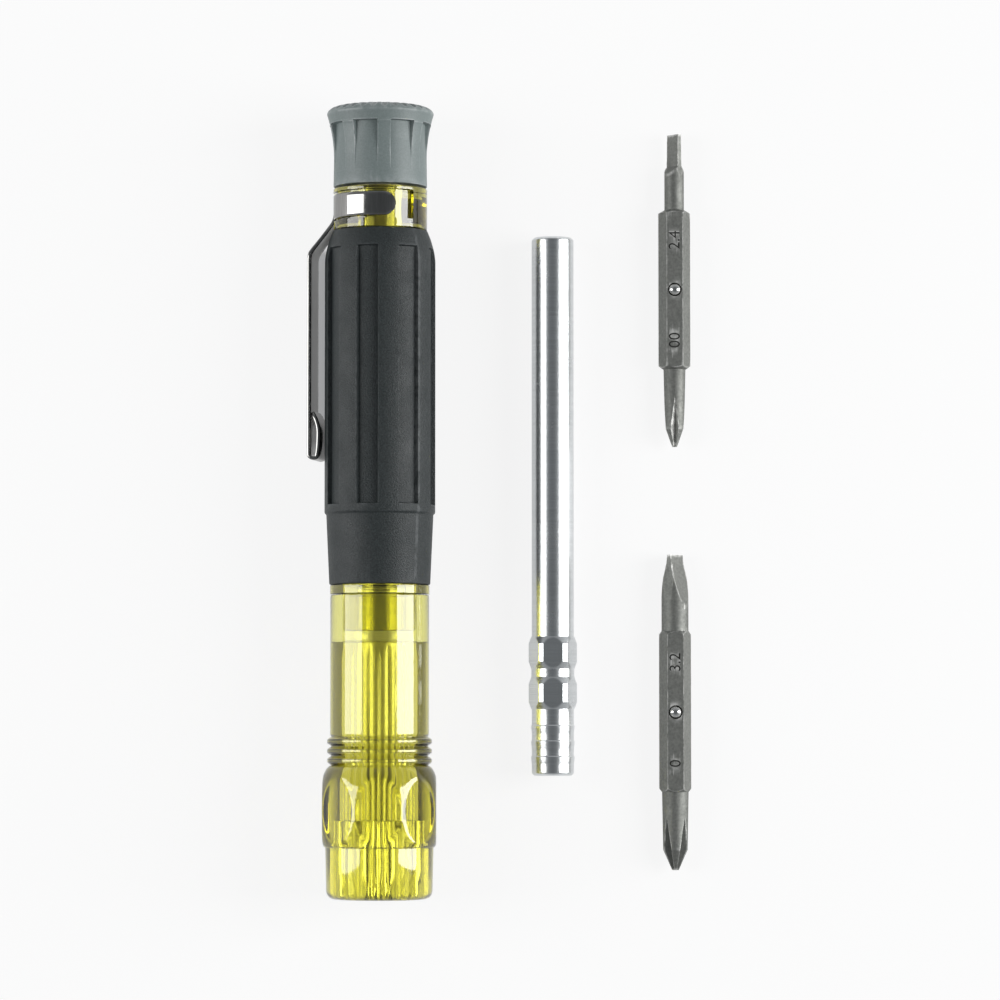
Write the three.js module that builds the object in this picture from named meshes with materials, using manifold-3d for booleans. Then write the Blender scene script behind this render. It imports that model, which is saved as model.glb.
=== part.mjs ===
// Electronics screwdriver: a pocket handle with clip and swivel cap, its reversible shaft and
// two double-ended bits, laid side by side on a table.
// Millimetres, +X right, +Y towards the cap, +Z up. Every turned piece has its axis along Y.
import * as THREE from "three";
import { mergeVertices } from "three/addons/utils/BufferGeometryUtils.js";
import Module from "manifold-3d";

const wasm = await Module();
wasm.setup();

// Fits between pieces
const SEAT_GAP = 0.1; // round a piece fixed in another
const RUNNING_GAP = 0.15; // round a piece that turns or slides in another
const PARTING_GAP = 0.3; // between faces that only pass each other
const OVERCUT = 1; // how far a cutter runs past the face it cuts

// Double-ended bits: the hexagon and ball catch they share
const BIT_FLATS = 3.97; // hexagon across flats
const BIT_HEX_LENGTH = 23.0;
const BIT_HEX_CHAMFER = 0.5; // along the axis, at both hexagon ends
const BIT_CROSS_LENGTH = 11.1; // hexagon to cross point
const FLUTE_COUNT = 4;
const BLADE_TAPER = 0.1; // a blade's flats open by this much a side to their root
const BIT_BLADE_SIDE = 10.9; // hexagon to blade tip
const BALL_RADIUS = 0.95;
const BALL_STAND = 0.45; // how far the ball stands out of its flat
const BALL_LIP = 0.14; // depth of the rim staked over the ball
const BALL_GAP = 0.06; // round the ball in its cross hole
const BALL_FLOOR = 0.95; // wall left under the cross hole
const SPRING_WIRE_RADIUS = 0.11;
const SPRING_GAP = 0.08; // at both ends and round the spring
const SPRING_TURNS = 3.5;

// Small bit: narrow blade and fine cross point
const SMALL_BLADE_WIDTH = 2.38;
const SMALL_BLADE_THICKNESS = 0.55;
const SMALL_BLADE_LENGTH = 4.6;
const SMALL_BLADE_RUNOUT = 1.2; // slope from the blade up to a full shank
const SMALL_BLADE_TURN = -50; // degrees from +Z towards +X
const SMALL_BLADE_SHANK = 2.8; // diameter
const SMALL_CROSS_FRONT = 2.75; // shank diameter behind the point
const SMALL_CROSS_REAR = 3.15; // shank diameter at the hexagon
const SMALL_POINT_LENGTH = 2.6;
const SMALL_TIP = 0.75; // diameter of the point's flat end
const SMALL_WEB = 0.2; // axis to a flute's bottom at the point
const SMALL_FLUTE_LENGTH = 6.4;
const SMALL_FLUTE_TURN = 0;

// Large bit: wide blade and larger cross point
const LARGE_BLADE_WIDTH = 3.18;
const LARGE_BLADE_THICKNESS = 0.6;
const LARGE_BLADE_LENGTH = 1.2;
const LARGE_BLADE_RUNOUT = 6.2;
const LARGE_BLADE_TURN = 54;
const LARGE_BLADE_SHANK = 3.85;
const LARGE_CROSS_FRONT = 3.5;
const LARGE_CROSS_REAR = 3.8;
const LARGE_POINT_LENGTH = 2.9;
const LARGE_TIP = 0.95;
const LARGE_WEB = 0.26;
const LARGE_FLUTE_LENGTH = 7.2;
const LARGE_FLUTE_TURN = 45;

// Shaft
const SHAFT_RADIUS = 3.0;
const SHAFT_TUBE_LENGTH = 57.2;
const SHAFT_EDGE = 0.35; // bevel at both ends
const COLLAR_FLATS = 6.35; // drive hexagon across flats
const COLLAR_RADIUS = 3.45; // its corners are turned to this
const COLLAR_LENGTH = 4.55;
const COLLAR_BEVEL = 1.0;
const COLLAR_END_RADIUS = 3.1; // at the bevel's small end
const GROOVE_LENGTH = 1.2; // between the two collars
const GROOVE_RADIUS = 3.07;
const TAIL_LENGTH = 9.5;
const RIDGE_COUNT = 3;
const RIDGE_START = 2.7; // tail end to the first ridge
const RIDGE_PITCH = 2.2;
const RIDGE_HEIGHT = 0.16;
const BIT_SOCKET_DEPTH = 27.0; // hexagon socket, one at each end

// Front barrel: nose, finger flats, rings and plain tube
const NOSE_LENGTH = 7.3;
const NOSE_END_RADIUS = 7.5;
const NOSE_RADIUS = 7.66;
const NOSE_FILLET = 1.4;
const MOUTH_BEVEL = 0.7;
const BULGE_LENGTH = 11.6;
const BULGE_CROWN = 5.3; // from the nose to the widest section
const BULGE_RADIUS = 8.62;
const FLAT_DISTANCE = 8.05; // from the axis to each finger flat
const FLAT_COUNT = 8;
const RING_COUNT = 3;
const RING_PITCH = 1.36;
const RING_RADIUS = 7.42;
const RING_ROOT_RADIUS = 6.84;
const RING_RISE = 0.3; // share of the pitch in each flank
const BARREL_LENGTH = 20.0;
const BARREL_RADIUS = 7.0;
const BARREL_BEVEL = 0.25;
const SOCKET_END_PLAY = 0.8; // socket depth past the seated collars
const SOCKET_GROOVES = 18; // a collar corner stands in every third one
const SOCKET_ROOT_RADIUS = 4.5;

// Rear core: spigot, collar, tube under the grip and neck
const SPIGOT_LENGTH = 5.2;
const SPIGOT_RELIEF = 1.55; // left open past the spigot for spare cement
const SPIGOT_WALL = 1.9;
const CORE_COLLAR_LENGTH = 1.3;
const CORE_COLLAR_RADIUS = 7.05;
const CORE_RADIUS = 5.6;
const REAR_WALL = 5.2; // solid between the bore and the spindle hole
const NECK_RADIUS = 6.67;
const NECK_LENGTH = 6.0;

// Grip sleeve
const SKIRT_LENGTH = 10.0;
const SKIRT_FRONT_RADIUS = 7.16;
const SKIRT_REAR_RADIUS = 7.6;
const GRIP_RADIUS = 7.86;
const SHOULDER_LENGTH = 4.4;
const SHOULDER_END_RADIUS = 6.7;
const SHOULDER_DROP = 0.15; // fall at the middle of the shoulder's curve
const PANEL_COUNT = 8;
const PANEL_DEPTH = 0.6;
const PANEL_ANGLE = 22.5; // width of one panel, in degrees
const PANEL_PHASE = -12; // first panel's centre, in degrees from +Z towards +X
const PANEL_FOOT = 1.4; // lands left plain below the panels
const PANEL_HEAD = 1.8; // how far the panels run up the shoulder

// Swivel cap, its spindle and washer
const CAP_LENGTH = 11.5;
const CAP_WAIST_RADIUS = 6.6;
const CAP_WAIST_LENGTH = 4.0;
const CAP_RIM_RADIUS = 7.6;
const CAP_RIM_ROUND = 1.1; // height of the rounded top edge
const CAP_RIM_BAND = 1.5; // plain rim under the rounded edge
const CAP_TOP_RADIUS = 5.5;
const CAP_DISH = 0.6;
const CAP_RIB_COUNT = 8;
const CAP_RIB_ANGLE = 16;
const CAP_RIB_PHASE = 6;
const CAP_VALLEY_DEPTH = 0.1; // below the waist, between the ribs
const CAP_VALLEY_FOOT = 2.0; // cap's bottom to the valleys' start
const NOTCH_COUNT = 30;
const NOTCH_RADIUS = 0.5;
const NOTCH_TILT = 20; // degrees the notches fall outwards
const NOTCH_RISE = 0.1; // middle of a notch over the cap's top
const SPINDLE_RADIUS = 1.9;
const SPINDLE_STEM_LENGTH = 9.0; // held in the neck
const SPINDLE_JOURNAL_LENGTH = 4.6; // the cap turns on this
const SPINDLE_HEAD_RADIUS = 2.7;
const SPINDLE_HEAD_LENGTH = 1.8;
const SPINDLE_SLOT = 0.8; // lets the head spring through the cap
const WASHER_RADIUS = 4.6;
const WASHER_THICKNESS = 0.6;

// Pocket clip
const CLIP_THICKNESS = 0.5;
const CLIP_BAND_HEIGHT = 3.4;
const CLIP_BAND_PLAY = 0.35; // above and below the band in its recess
const CLIP_BAND_SET = 2.63; // band centre below the neck's top face
const CLIP_WRAP = 121; // degrees of band to each side
const RECESS_WRAP = 146;
const CLIP_BEARING = -100; // direction of the arm, in degrees from +Z towards +X
const CLIP_WIDTH = 5.5;
const CLIP_ROOT_WIDTH = 3.8;
const CLIP_REACH = 10.05; // axis to the arm's outer face
const CLIP_SLOPE_LENGTH = 4.9; // band to the straight part of the arm
const CLIP_ARM_LENGTH = 28.5; // straight part
const CLIP_BEND = 0.9; // how far each bend runs along the strip
const HOOK_RADIUS = 0.65;
const HOOK_SWEEP = 0.75; // of a half turn, round the hook's bottom
const HOOK_CONTACT = 3.0; // turn of the hook to the point nearest the grip
const HOOK_END = 5.9; // turn of the hook to the strip's end
const HOOK_LIFT = 0.95; // the strip's end stands off the contact point
const CLIP_NOTCH_GAP = 0.5; // each side of the arm where it leaves the neck

// Lie of the pieces on the table, axis to axis
const HANDLE_TO_SHAFT = 24.6;
const SHAFT_TO_BITS = 17.5;
const BITS_SPACING = 60.5; // between the two bits' middles
const SHAFT_LIE = -0.4; // shaft's middle from the handle's middle
const BITS_LIE = 0.4; // middle of the two bits from the handle's middle

// Facets round the turned surfaces
const HANDLE_FACETS = 32;
const SHAFT_FACETS = 30;
const BIT_FACETS = 24;
const BALL_FACETS = 16;
const ARC_STEPS = 4;
const CLIP_STEPS = 5;
const PANEL_STEPS = 2;
const VALLEY_STEPS = 3;
const WIRE_STEPS = 3;
const NOTCH_SIDES = 4;
const RECESS_STEPS = 30;
const BAND_STEPS = 24;
const BAND_END_STEPS = 4;
const SPRING_STEPS = 9; // a turn

const degrees = THREE.MathUtils.degToRad;
const QUARTER_TURN = 90; // degrees
const HEX_CORNER = 1 / Math.cos(Math.PI / 6); // corner radius over half the flats

// Solids from geometry and back
function solid(geometry) {
  const bare = new THREE.BufferGeometry().setAttribute("position", geometry.getAttribute("position"));
  if (geometry.index) bare.setIndex(geometry.index);
  const welded = mergeVertices(bare, 1e-5);
  const corners = Array.from(welded.index.array);
  const kept = [];
  for (let i = 0; i < corners.length; i += 3) {
    const [a, b, c] = corners.slice(i, i + 3);
    if (a !== b && b !== c && c !== a) kept.push(a, b, c);
  }
  return new wasm.Manifold(
    new wasm.Mesh({
      numProp: 3,
      vertProperties: new Float32Array(welded.getAttribute("position").array),
      triVerts: new Uint32Array(kept),
    }),
  );
}

function geometryOf(body) {
  const mesh = body.getMesh();
  const places = new Float32Array(mesh.numVert * 3);
  for (let i = 0; i < mesh.numVert; i += 1) {
    places.set(mesh.vertProperties.subarray(i * mesh.numProp, i * mesh.numProp + 3), i * 3);
  }
  const geometry = new THREE.BufferGeometry();
  geometry.setAttribute("position", new THREE.BufferAttribute(places, 3));
  geometry.setIndex(new THREE.BufferAttribute(new Uint32Array(mesh.triVerts), 1));
  geometry.computeVertexNormals();
  return geometry;
}

// A turned body; the profile runs up the outside, as [radius, y] points or a path
function lathe(profile, facets) {
  const points = Array.isArray(profile)
    ? profile.map(([radius, y]) => new THREE.Vector2(radius, y))
    : profile.getPoints(ARC_STEPS);
  return new THREE.LatheGeometry(points, facets);
}

function turned(profile, facets) {
  return solid(lathe(profile, facets));
}

// A straight prism along Y, from y = 0, on an outline drawn with its own y towards -Z
function prism(shape, height, steps = ARC_STEPS) {
  const options = { depth: height, bevelEnabled: false, curveSegments: steps };
  return new THREE.ExtrudeGeometry(shape, options).rotateX(-Math.PI / 2);
}

// A hexagonal prism along Y with flats facing +Z and -Z
function hexagon(flats, height) {
  const radius = (flats / 2) * HEX_CORNER;
  return new THREE.CylinderGeometry(radius, radius, height, 6)
    .rotateY(Math.PI / 6)
    .translate(0, height / 2, 0);
}

// Part of a ring round Y, centred on +Z and rising from y = 0
function ringSector(inner, outer, halfAngle, height, steps) {
  const start = -Math.PI / 2 - halfAngle;
  const end = -Math.PI / 2 + halfAngle;
  const shape = new THREE.Shape();
  shape.absarc(0, 0, outer, start, end, false);
  shape.absarc(0, 0, inner, end, start, true);
  return prism(shape, height, steps);
}

// A strip of sheet through stations that give its centre, its across and out directions and width
function strip(stations, thickness) {
  const places = [];
  const faces = [];
  for (const { centre, across, out, halfWidth } of stations) {
    for (const [side, face] of [[-1, -1], [1, -1], [1, 1], [-1, 1]]) {
      const corner = centre.clone();
      corner.addScaledVector(across, side * halfWidth);
      corner.addScaledVector(out, (face * thickness) / 2);
      places.push(corner.x, corner.y, corner.z);
    }
  }
  for (let i = 0; i + 1 < stations.length; i += 1) {
    for (let k = 0; k < 4; k += 1) {
      const a = 4 * i + k;
      const b = 4 * i + ((k + 1) % 4);
      faces.push(a, b, b + 4, a, b + 4, a + 4);
    }
  }
  const last = 4 * (stations.length - 1);
  faces.push(0, 2, 1, 0, 3, 2);
  faces.push(last, last + 1, last + 2, last, last + 2, last + 3);
  const geometry = new THREE.BufferGeometry();
  geometry.setAttribute("position", new THREE.Float32BufferAttribute(places, 3));
  geometry.setIndex(faces);
  return solid(geometry);
}

// Places along the handle, from the nose's end face
const socketDepth = 2 * COLLAR_LENGTH + GROOVE_LENGTH + SOCKET_END_PLAY;
const boreRadius = COLLAR_FLATS / 2 + RUNNING_GAP;
const bitStickOut = BIT_CROSS_LENGTH + BIT_HEX_LENGTH + BIT_BLADE_SIDE - BIT_SOCKET_DEPTH;
const boreEnd = socketDepth + SHAFT_TUBE_LENGTH + bitStickOut + PARTING_GAP;
const bulgeTop = NOSE_LENGTH + BULGE_LENGTH;
const ringsTop = bulgeTop + RING_COUNT * RING_PITCH;
const barrelTop = ringsTop + BARREL_LENGTH;
const coreCollarTop = barrelTop + SEAT_GAP + CORE_COLLAR_LENGTH;
const skirtTop = coreCollarTop + SKIRT_LENGTH;
const neckTop = boreEnd + REAR_WALL + SPINDLE_STEM_LENGTH;
const gripTop = neckTop - NECK_LENGTH;
const capBottom = neckTop + PARTING_GAP;
const capTop = capBottom + CAP_LENGTH;
const bandCentre = neckTop - CLIP_BAND_SET;
const spigotRadius = boreRadius + SPIGOT_WALL;
const spigotEnd = barrelTop - SPIGOT_LENGTH;
const recessRadius = NECK_RADIUS - CLIP_THICKNESS - RUNNING_GAP;
const washerTop = neckTop + SEAT_GAP + WASHER_THICKNESS;
const headBottom = neckTop + SPINDLE_JOURNAL_LENGTH;
const headTop = headBottom + SPINDLE_HEAD_LENGTH;

// Places along a bit, from its cross point, and down through its ball catch
const hexTop = BIT_CROSS_LENGTH + BIT_HEX_LENGTH;
const bitLength = hexTop + BIT_BLADE_SIDE;
const shaftLength = TAIL_LENGTH + 2 * COLLAR_LENGTH + GROOVE_LENGTH + SHAFT_TUBE_LENGTH;
const ballHeight = BIT_FLATS / 2 + BALL_STAND - BALL_RADIUS;
const catchFloor = BALL_FLOOR - BIT_FLATS / 2;

// Front barrel: one clear moulding, turned outside, with eight finger flats and a socket in
// which the shaft's hexagon seats in eighteen positions
function frontBarrel() {
  const counterbore = spigotRadius + SEAT_GAP;
  const counterboreEnd = spigotEnd - SPIGOT_RELIEF;
  const crown = NOSE_LENGTH + BULGE_CROWN;
  const filletCentre = NOSE_END_RADIUS - NOSE_FILLET;
  const quarter = Math.PI / 2;
  const profile = new THREE.Path();
  profile.moveTo(boreRadius + MOUTH_BEVEL, 0);
  profile.lineTo(filletCentre, 0);
  profile.absarc(filletCentre, NOSE_FILLET, NOSE_FILLET, -quarter, 0, false);
  profile.lineTo(NOSE_RADIUS, NOSE_LENGTH);
  const lowerSpan = BULGE_RADIUS - NOSE_RADIUS;
  profile.absellipse(NOSE_RADIUS, crown, lowerSpan, BULGE_CROWN, -quarter, 0, false);
  const upperSpan = BULGE_RADIUS - RING_ROOT_RADIUS;
  profile.absellipse(RING_ROOT_RADIUS, crown, upperSpan, bulgeTop - crown, 0, quarter, false);
  for (let i = 0; i < RING_COUNT; i += 1) {
    const foot = bulgeTop + i * RING_PITCH;
    profile.lineTo(RING_RADIUS, foot + RING_PITCH * RING_RISE);
    profile.lineTo(RING_RADIUS, foot + RING_PITCH * (1 - RING_RISE));
    profile.lineTo(RING_ROOT_RADIUS, foot + RING_PITCH);
  }
  profile.lineTo(BARREL_RADIUS, ringsTop + BARREL_BEVEL);
  profile.lineTo(BARREL_RADIUS, barrelTop);
  profile.lineTo(counterbore, barrelTop);
  profile.lineTo(counterbore, counterboreEnd);
  profile.lineTo(boreRadius, counterboreEnd);
  profile.lineTo(boreRadius, MOUTH_BEVEL);
  profile.closePath();
  const flatCorner = FLAT_DISTANCE / Math.cos(Math.PI / FLAT_COUNT);
  const flats = new THREE.CylinderGeometry(flatCorner, flatCorner, 2 * barrelTop, FLAT_COUNT);
  flats.rotateY(Math.PI / FLAT_COUNT).translate(0, barrelTop / 2, 0);
  const grooves = [];
  for (let i = 0; i < 2 * SOCKET_GROOVES; i += 1) {
    const turn = (i * Math.PI) / SOCKET_GROOVES;
    const radius = i % 2 ? SOCKET_ROOT_RADIUS : boreRadius;
    grooves.push(new THREE.Vector2(radius * Math.sin(turn), radius * Math.cos(turn)));
  }
  const socket = prism(new THREE.Shape(grooves), 2 * socketDepth).translate(0, -socketDepth, 0);
  return turned(profile, HANDLE_FACETS).intersect(solid(flats)).subtract(solid(socket));
}

// Rear core: one clear moulding; its spigot is cemented into the barrel, its tube carries the
// grip and its neck carries the clip and the cap's spindle
function rearCore() {
  const stemHole = SPINDLE_RADIUS + SEAT_GAP;
  const stemHoleEnd = neckTop - SPINDLE_STEM_LENGTH;
  const collarBottom = barrelTop + SEAT_GAP;
  const neckBottom = gripTop + SEAT_GAP;
  const profile = [
    [0, boreEnd],
    [boreRadius, boreEnd],
    [boreRadius, spigotEnd],
    [spigotRadius, spigotEnd],
    [spigotRadius, collarBottom],
    [CORE_COLLAR_RADIUS, collarBottom],
    [CORE_COLLAR_RADIUS, coreCollarTop],
    [CORE_RADIUS, coreCollarTop],
    [CORE_RADIUS, neckBottom],
    [NECK_RADIUS, neckBottom],
    [NECK_RADIUS, neckTop],
    [stemHole, neckTop],
    [stemHole, stemHoleEnd],
    [0, stemHoleEnd],
  ];
  const recessHeight = CLIP_BAND_HEIGHT + 2 * CLIP_BAND_PLAY;
  const beyond = NECK_RADIUS + PARTING_GAP;
  const recess = ringSector(recessRadius, beyond, degrees(RECESS_WRAP), recessHeight, RECESS_STEPS);
  recess.translate(0, bandCentre - recessHeight / 2, 0);
  const notchWidth = CLIP_ROOT_WIDTH + 2 * CLIP_NOTCH_GAP;
  const notch = new THREE.BoxGeometry(notchWidth, bandCentre - gripTop, NECK_RADIUS);
  notch.translate(0, (bandCentre + gripTop) / 2, recessRadius + NECK_RADIUS / 2);
  return turned(profile, HANDLE_FACETS)
    .subtract(solid(recess.rotateY(degrees(CLIP_BEARING))))
    .subtract(solid(notch.rotateY(degrees(CLIP_BEARING))));
}

// Grip sleeve: a moulded rubber sleeve with a plain skirt and eight sunk panels
function gripSleeve() {
  const inner = CORE_RADIUS + SEAT_GAP;
  const bottom = coreCollarTop + SEAT_GAP;
  const shoulderFoot = gripTop - SHOULDER_LENGTH;
  const profile = new THREE.Path();
  profile.moveTo(inner, bottom);
  profile.lineTo(SKIRT_FRONT_RADIUS, bottom);
  profile.lineTo(SKIRT_REAR_RADIUS, skirtTop);
  profile.lineTo(GRIP_RADIUS, skirtTop + GRIP_RADIUS - SKIRT_REAR_RADIUS);
  profile.lineTo(GRIP_RADIUS, shoulderFoot);
  const shoulderMiddle = gripTop - SHOULDER_LENGTH / 2;
  const shoulderPull = GRIP_RADIUS - SHOULDER_DROP;
  profile.quadraticCurveTo(shoulderPull, shoulderMiddle, SHOULDER_END_RADIUS, gripTop);
  profile.lineTo(inner, gripTop);
  profile.closePath();
  const panelBottom = skirtTop + PANEL_FOOT;
  const panelHeight = shoulderFoot + PANEL_HEAD - panelBottom;
  const floor = GRIP_RADIUS - PANEL_DEPTH;
  const panelHalf = degrees(PANEL_ANGLE / 2);
  let sleeve = turned(profile, HANDLE_FACETS);
  for (let i = 0; i < PANEL_COUNT; i += 1) {
    const panel = ringSector(floor, GRIP_RADIUS + OVERCUT, panelHalf, panelHeight, PANEL_STEPS);
    panel.translate(0, panelBottom, 0).rotateY(degrees(PANEL_PHASE + (i * 360) / PANEL_COUNT));
    sleeve = sleeve.subtract(solid(panel));
  }
  return sleeve;
}

// Swivel cap: a moulded cap that turns on its spindle, flared to a notched rim and dished on top
function swivelCap() {
  const washerRoof = washerTop + RUNNING_GAP;
  const washerWall = WASHER_RADIUS + RUNNING_GAP;
  const journalHole = SPINDLE_RADIUS + RUNNING_GAP;
  const headFloor = headBottom - RUNNING_GAP;
  const headRoof = headTop + PARTING_GAP;
  const headWall = SPINDLE_HEAD_RADIUS + PARTING_GAP;
  const rimFoot = capTop - CAP_RIM_ROUND;
  const waistTop = capBottom + CAP_WAIST_LENGTH;
  const flarePull = (waistTop + rimFoot) / 2;
  const profile = new THREE.Path();
  profile.moveTo(0, headRoof);
  profile.lineTo(headWall, headRoof);
  profile.lineTo(headWall, headFloor);
  profile.lineTo(journalHole, headFloor);
  profile.lineTo(journalHole, washerRoof);
  profile.lineTo(washerWall, washerRoof);
  profile.lineTo(washerWall, capBottom);
  profile.lineTo(NECK_RADIUS, capBottom);
  profile.lineTo(CAP_WAIST_RADIUS, waistTop);
  profile.quadraticCurveTo(CAP_WAIST_RADIUS, flarePull, CAP_RIM_RADIUS, rimFoot);
  const roundSpan = CAP_RIM_RADIUS - CAP_TOP_RADIUS;
  profile.absellipse(CAP_TOP_RADIUS, rimFoot, roundSpan, CAP_RIM_ROUND, 0, Math.PI / 2, false);
  profile.lineTo(0, capTop - CAP_DISH);
  let cap = turned(profile, HANDLE_FACETS);
  const valleyBottom = capBottom + CAP_VALLEY_FOOT;
  const valleyHeight = rimFoot - CAP_RIM_BAND - valleyBottom;
  const valleyFloor = CAP_WAIST_RADIUS - CAP_VALLEY_DEPTH;
  const valleyHalf = degrees((360 / CAP_RIB_COUNT - CAP_RIB_ANGLE) / 2);
  const beyond = CAP_RIM_RADIUS + OVERCUT;
  for (let i = 0; i < CAP_RIB_COUNT; i += 1) {
    const valley = ringSector(valleyFloor, beyond, valleyHalf, valleyHeight, VALLEY_STEPS);
    const bearing = CAP_RIB_PHASE + ((i + 0.5) * 360) / CAP_RIB_COUNT;
    valley.translate(0, valleyBottom, 0).rotateY(degrees(bearing));
    cap = cap.subtract(solid(valley));
  }
  const notchSpan = CAP_RIM_RADIUS - CAP_TOP_RADIUS;
  for (let i = 0; i < NOTCH_COUNT; i += 1) {
    const notch = new THREE.CylinderGeometry(NOTCH_RADIUS, NOTCH_RADIUS, notchSpan, NOTCH_SIDES);
    notch.rotateX(Math.PI / 2 + degrees(NOTCH_TILT));
    notch.translate(0, capTop + NOTCH_RISE, (CAP_RIM_RADIUS + CAP_TOP_RADIUS) / 2);
    cap = cap.subtract(solid(notch.rotateY(((i + 0.5) * 2 * Math.PI) / NOTCH_COUNT)));
  }
  return cap;
}

// Cap spindle: a moulded axle held in the neck; its split head springs through the cap's hub
function capSpindle() {
  const lead = SPINDLE_HEAD_RADIUS - SPINDLE_RADIUS;
  const profile = [
    [0, neckTop - SPINDLE_STEM_LENGTH + SEAT_GAP],
    [SPINDLE_RADIUS, neckTop - SPINDLE_STEM_LENGTH + SEAT_GAP],
    [SPINDLE_RADIUS, headBottom],
    [SPINDLE_HEAD_RADIUS, headBottom],
    [SPINDLE_HEAD_RADIUS, headTop - lead],
    [SPINDLE_RADIUS, headTop],
    [0, headTop],
  ];
  const slotDepth = SPINDLE_HEAD_LENGTH + SPINDLE_JOURNAL_LENGTH / 2;
  const slot = new THREE.BoxGeometry(SPINDLE_SLOT, 2 * slotDepth, 4 * SPINDLE_HEAD_RADIUS);
  return turned(profile, BIT_FACETS).subtract(solid(slot.translate(0, headTop, 0)));
}

// Cap washer: a slip ring between the neck and the cap
function capWasher() {
  const inner = SPINDLE_RADIUS + SEAT_GAP;
  const bottom = neckTop + SEAT_GAP;
  const profile = [
    [inner, bottom],
    [WASHER_RADIUS, bottom],
    [WASHER_RADIUS, washerTop],
    [inner, washerTop],
    [inner, bottom],
  ];
  return turned(profile, BIT_FACETS);
}

// Pocket clip: one stamped strip; the band grips the neck and the arm ends in a hook
function pocketClip() {
  const bandRadius = NECK_RADIUS - CLIP_THICKNESS / 2;
  const endRadius = CLIP_BAND_HEIGHT / 2;
  const wrap = degrees(CLIP_WRAP);
  const endAngle = endRadius / bandRadius;
  const up = new THREE.Vector3(0, 1, 0);
  const bandStations = [];
  const bandStation = (angle, halfWidth) => {
    const out = new THREE.Vector3(Math.sin(angle), 0, Math.cos(angle));
    const centre = out.clone().multiplyScalar(bandRadius).setY(bandCentre);
    bandStations.push({ centre, across: up, out, halfWidth });
  };
  for (let i = 0; i < BAND_END_STEPS; i += 1) {
    const turn = ((i + 0.5) / BAND_END_STEPS) * (Math.PI / 2);
    bandStation(-wrap + endAngle * (1 - Math.cos(turn)), endRadius * Math.sin(turn));
  }
  for (let i = 0; i <= BAND_STEPS; i += 1) {
    bandStation((wrap - endAngle) * ((2 * i) / BAND_STEPS - 1), endRadius);
  }
  for (let i = BAND_END_STEPS - 1; i >= 0; i -= 1) {
    const turn = ((i + 0.5) / BAND_END_STEPS) * (Math.PI / 2);
    bandStation(wrap - endAngle * (1 - Math.cos(turn)), endRadius * Math.sin(turn));
  }

  const armRadius = CLIP_REACH - CLIP_THICKNESS / 2;
  const bandBottom = bandCentre - CLIP_BAND_HEIGHT / 2;
  const slopeEnd = bandBottom - CLIP_SLOPE_LENGTH;
  const armEnd = slopeEnd - CLIP_ARM_LENGTH;
  const top = new THREE.Vector2(bandRadius, bandBottom);
  const elbow = new THREE.Vector2(armRadius, slopeEnd);
  const slope = elbow.clone().sub(top).normalize().multiplyScalar(CLIP_BEND);
  const contactRadius = GRIP_RADIUS + PARTING_GAP + CLIP_THICKNESS / 2;
  const contactY = armEnd + HOOK_CONTACT;
  const hookEndY = armEnd + HOOK_END;
  const path = new THREE.Path();
  path.moveTo(bandRadius, bandCentre);
  path.lineTo(top.x, top.y + CLIP_BEND);
  path.quadraticCurveTo(top.x, top.y, top.x + slope.x, top.y + slope.y);
  path.lineTo(elbow.x - slope.x, elbow.y - slope.y);
  path.quadraticCurveTo(elbow.x, elbow.y, elbow.x, elbow.y - CLIP_BEND);
  path.lineTo(armRadius, armEnd);
  path.absarc(armRadius - HOOK_RADIUS, armEnd, HOOK_RADIUS, 0, -Math.PI * HOOK_SWEEP, true);
  path.quadraticCurveTo(contactRadius, armEnd + HOOK_RADIUS, contactRadius, contactY);
  const hookPull = (contactY + hookEndY) / 2;
  path.quadraticCurveTo(contactRadius, hookPull, contactRadius + HOOK_LIFT, hookEndY);
  const points = path.getPoints(CLIP_STEPS);
  const side = new THREE.Vector3(1, 0, 0);
  const armStations = points.map((point, i) => {
    const before = points[Math.max(i - 1, 0)];
    const after = points[Math.min(i + 1, points.length - 1)];
    const along = after.clone().sub(before).normalize();
    const spread = THREE.MathUtils.clamp((bandBottom - point.y) / CLIP_SLOPE_LENGTH, 0, 1);
    return {
      centre: new THREE.Vector3(0, point.y, point.x),
      across: side,
      out: new THREE.Vector3(0, along.x, -along.y),
      halfWidth: THREE.MathUtils.lerp(CLIP_ROOT_WIDTH, CLIP_WIDTH, spread) / 2,
    };
  });
  return strip(bandStations, CLIP_THICKNESS).add(strip(armStations, CLIP_THICKNESS));
}

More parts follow.
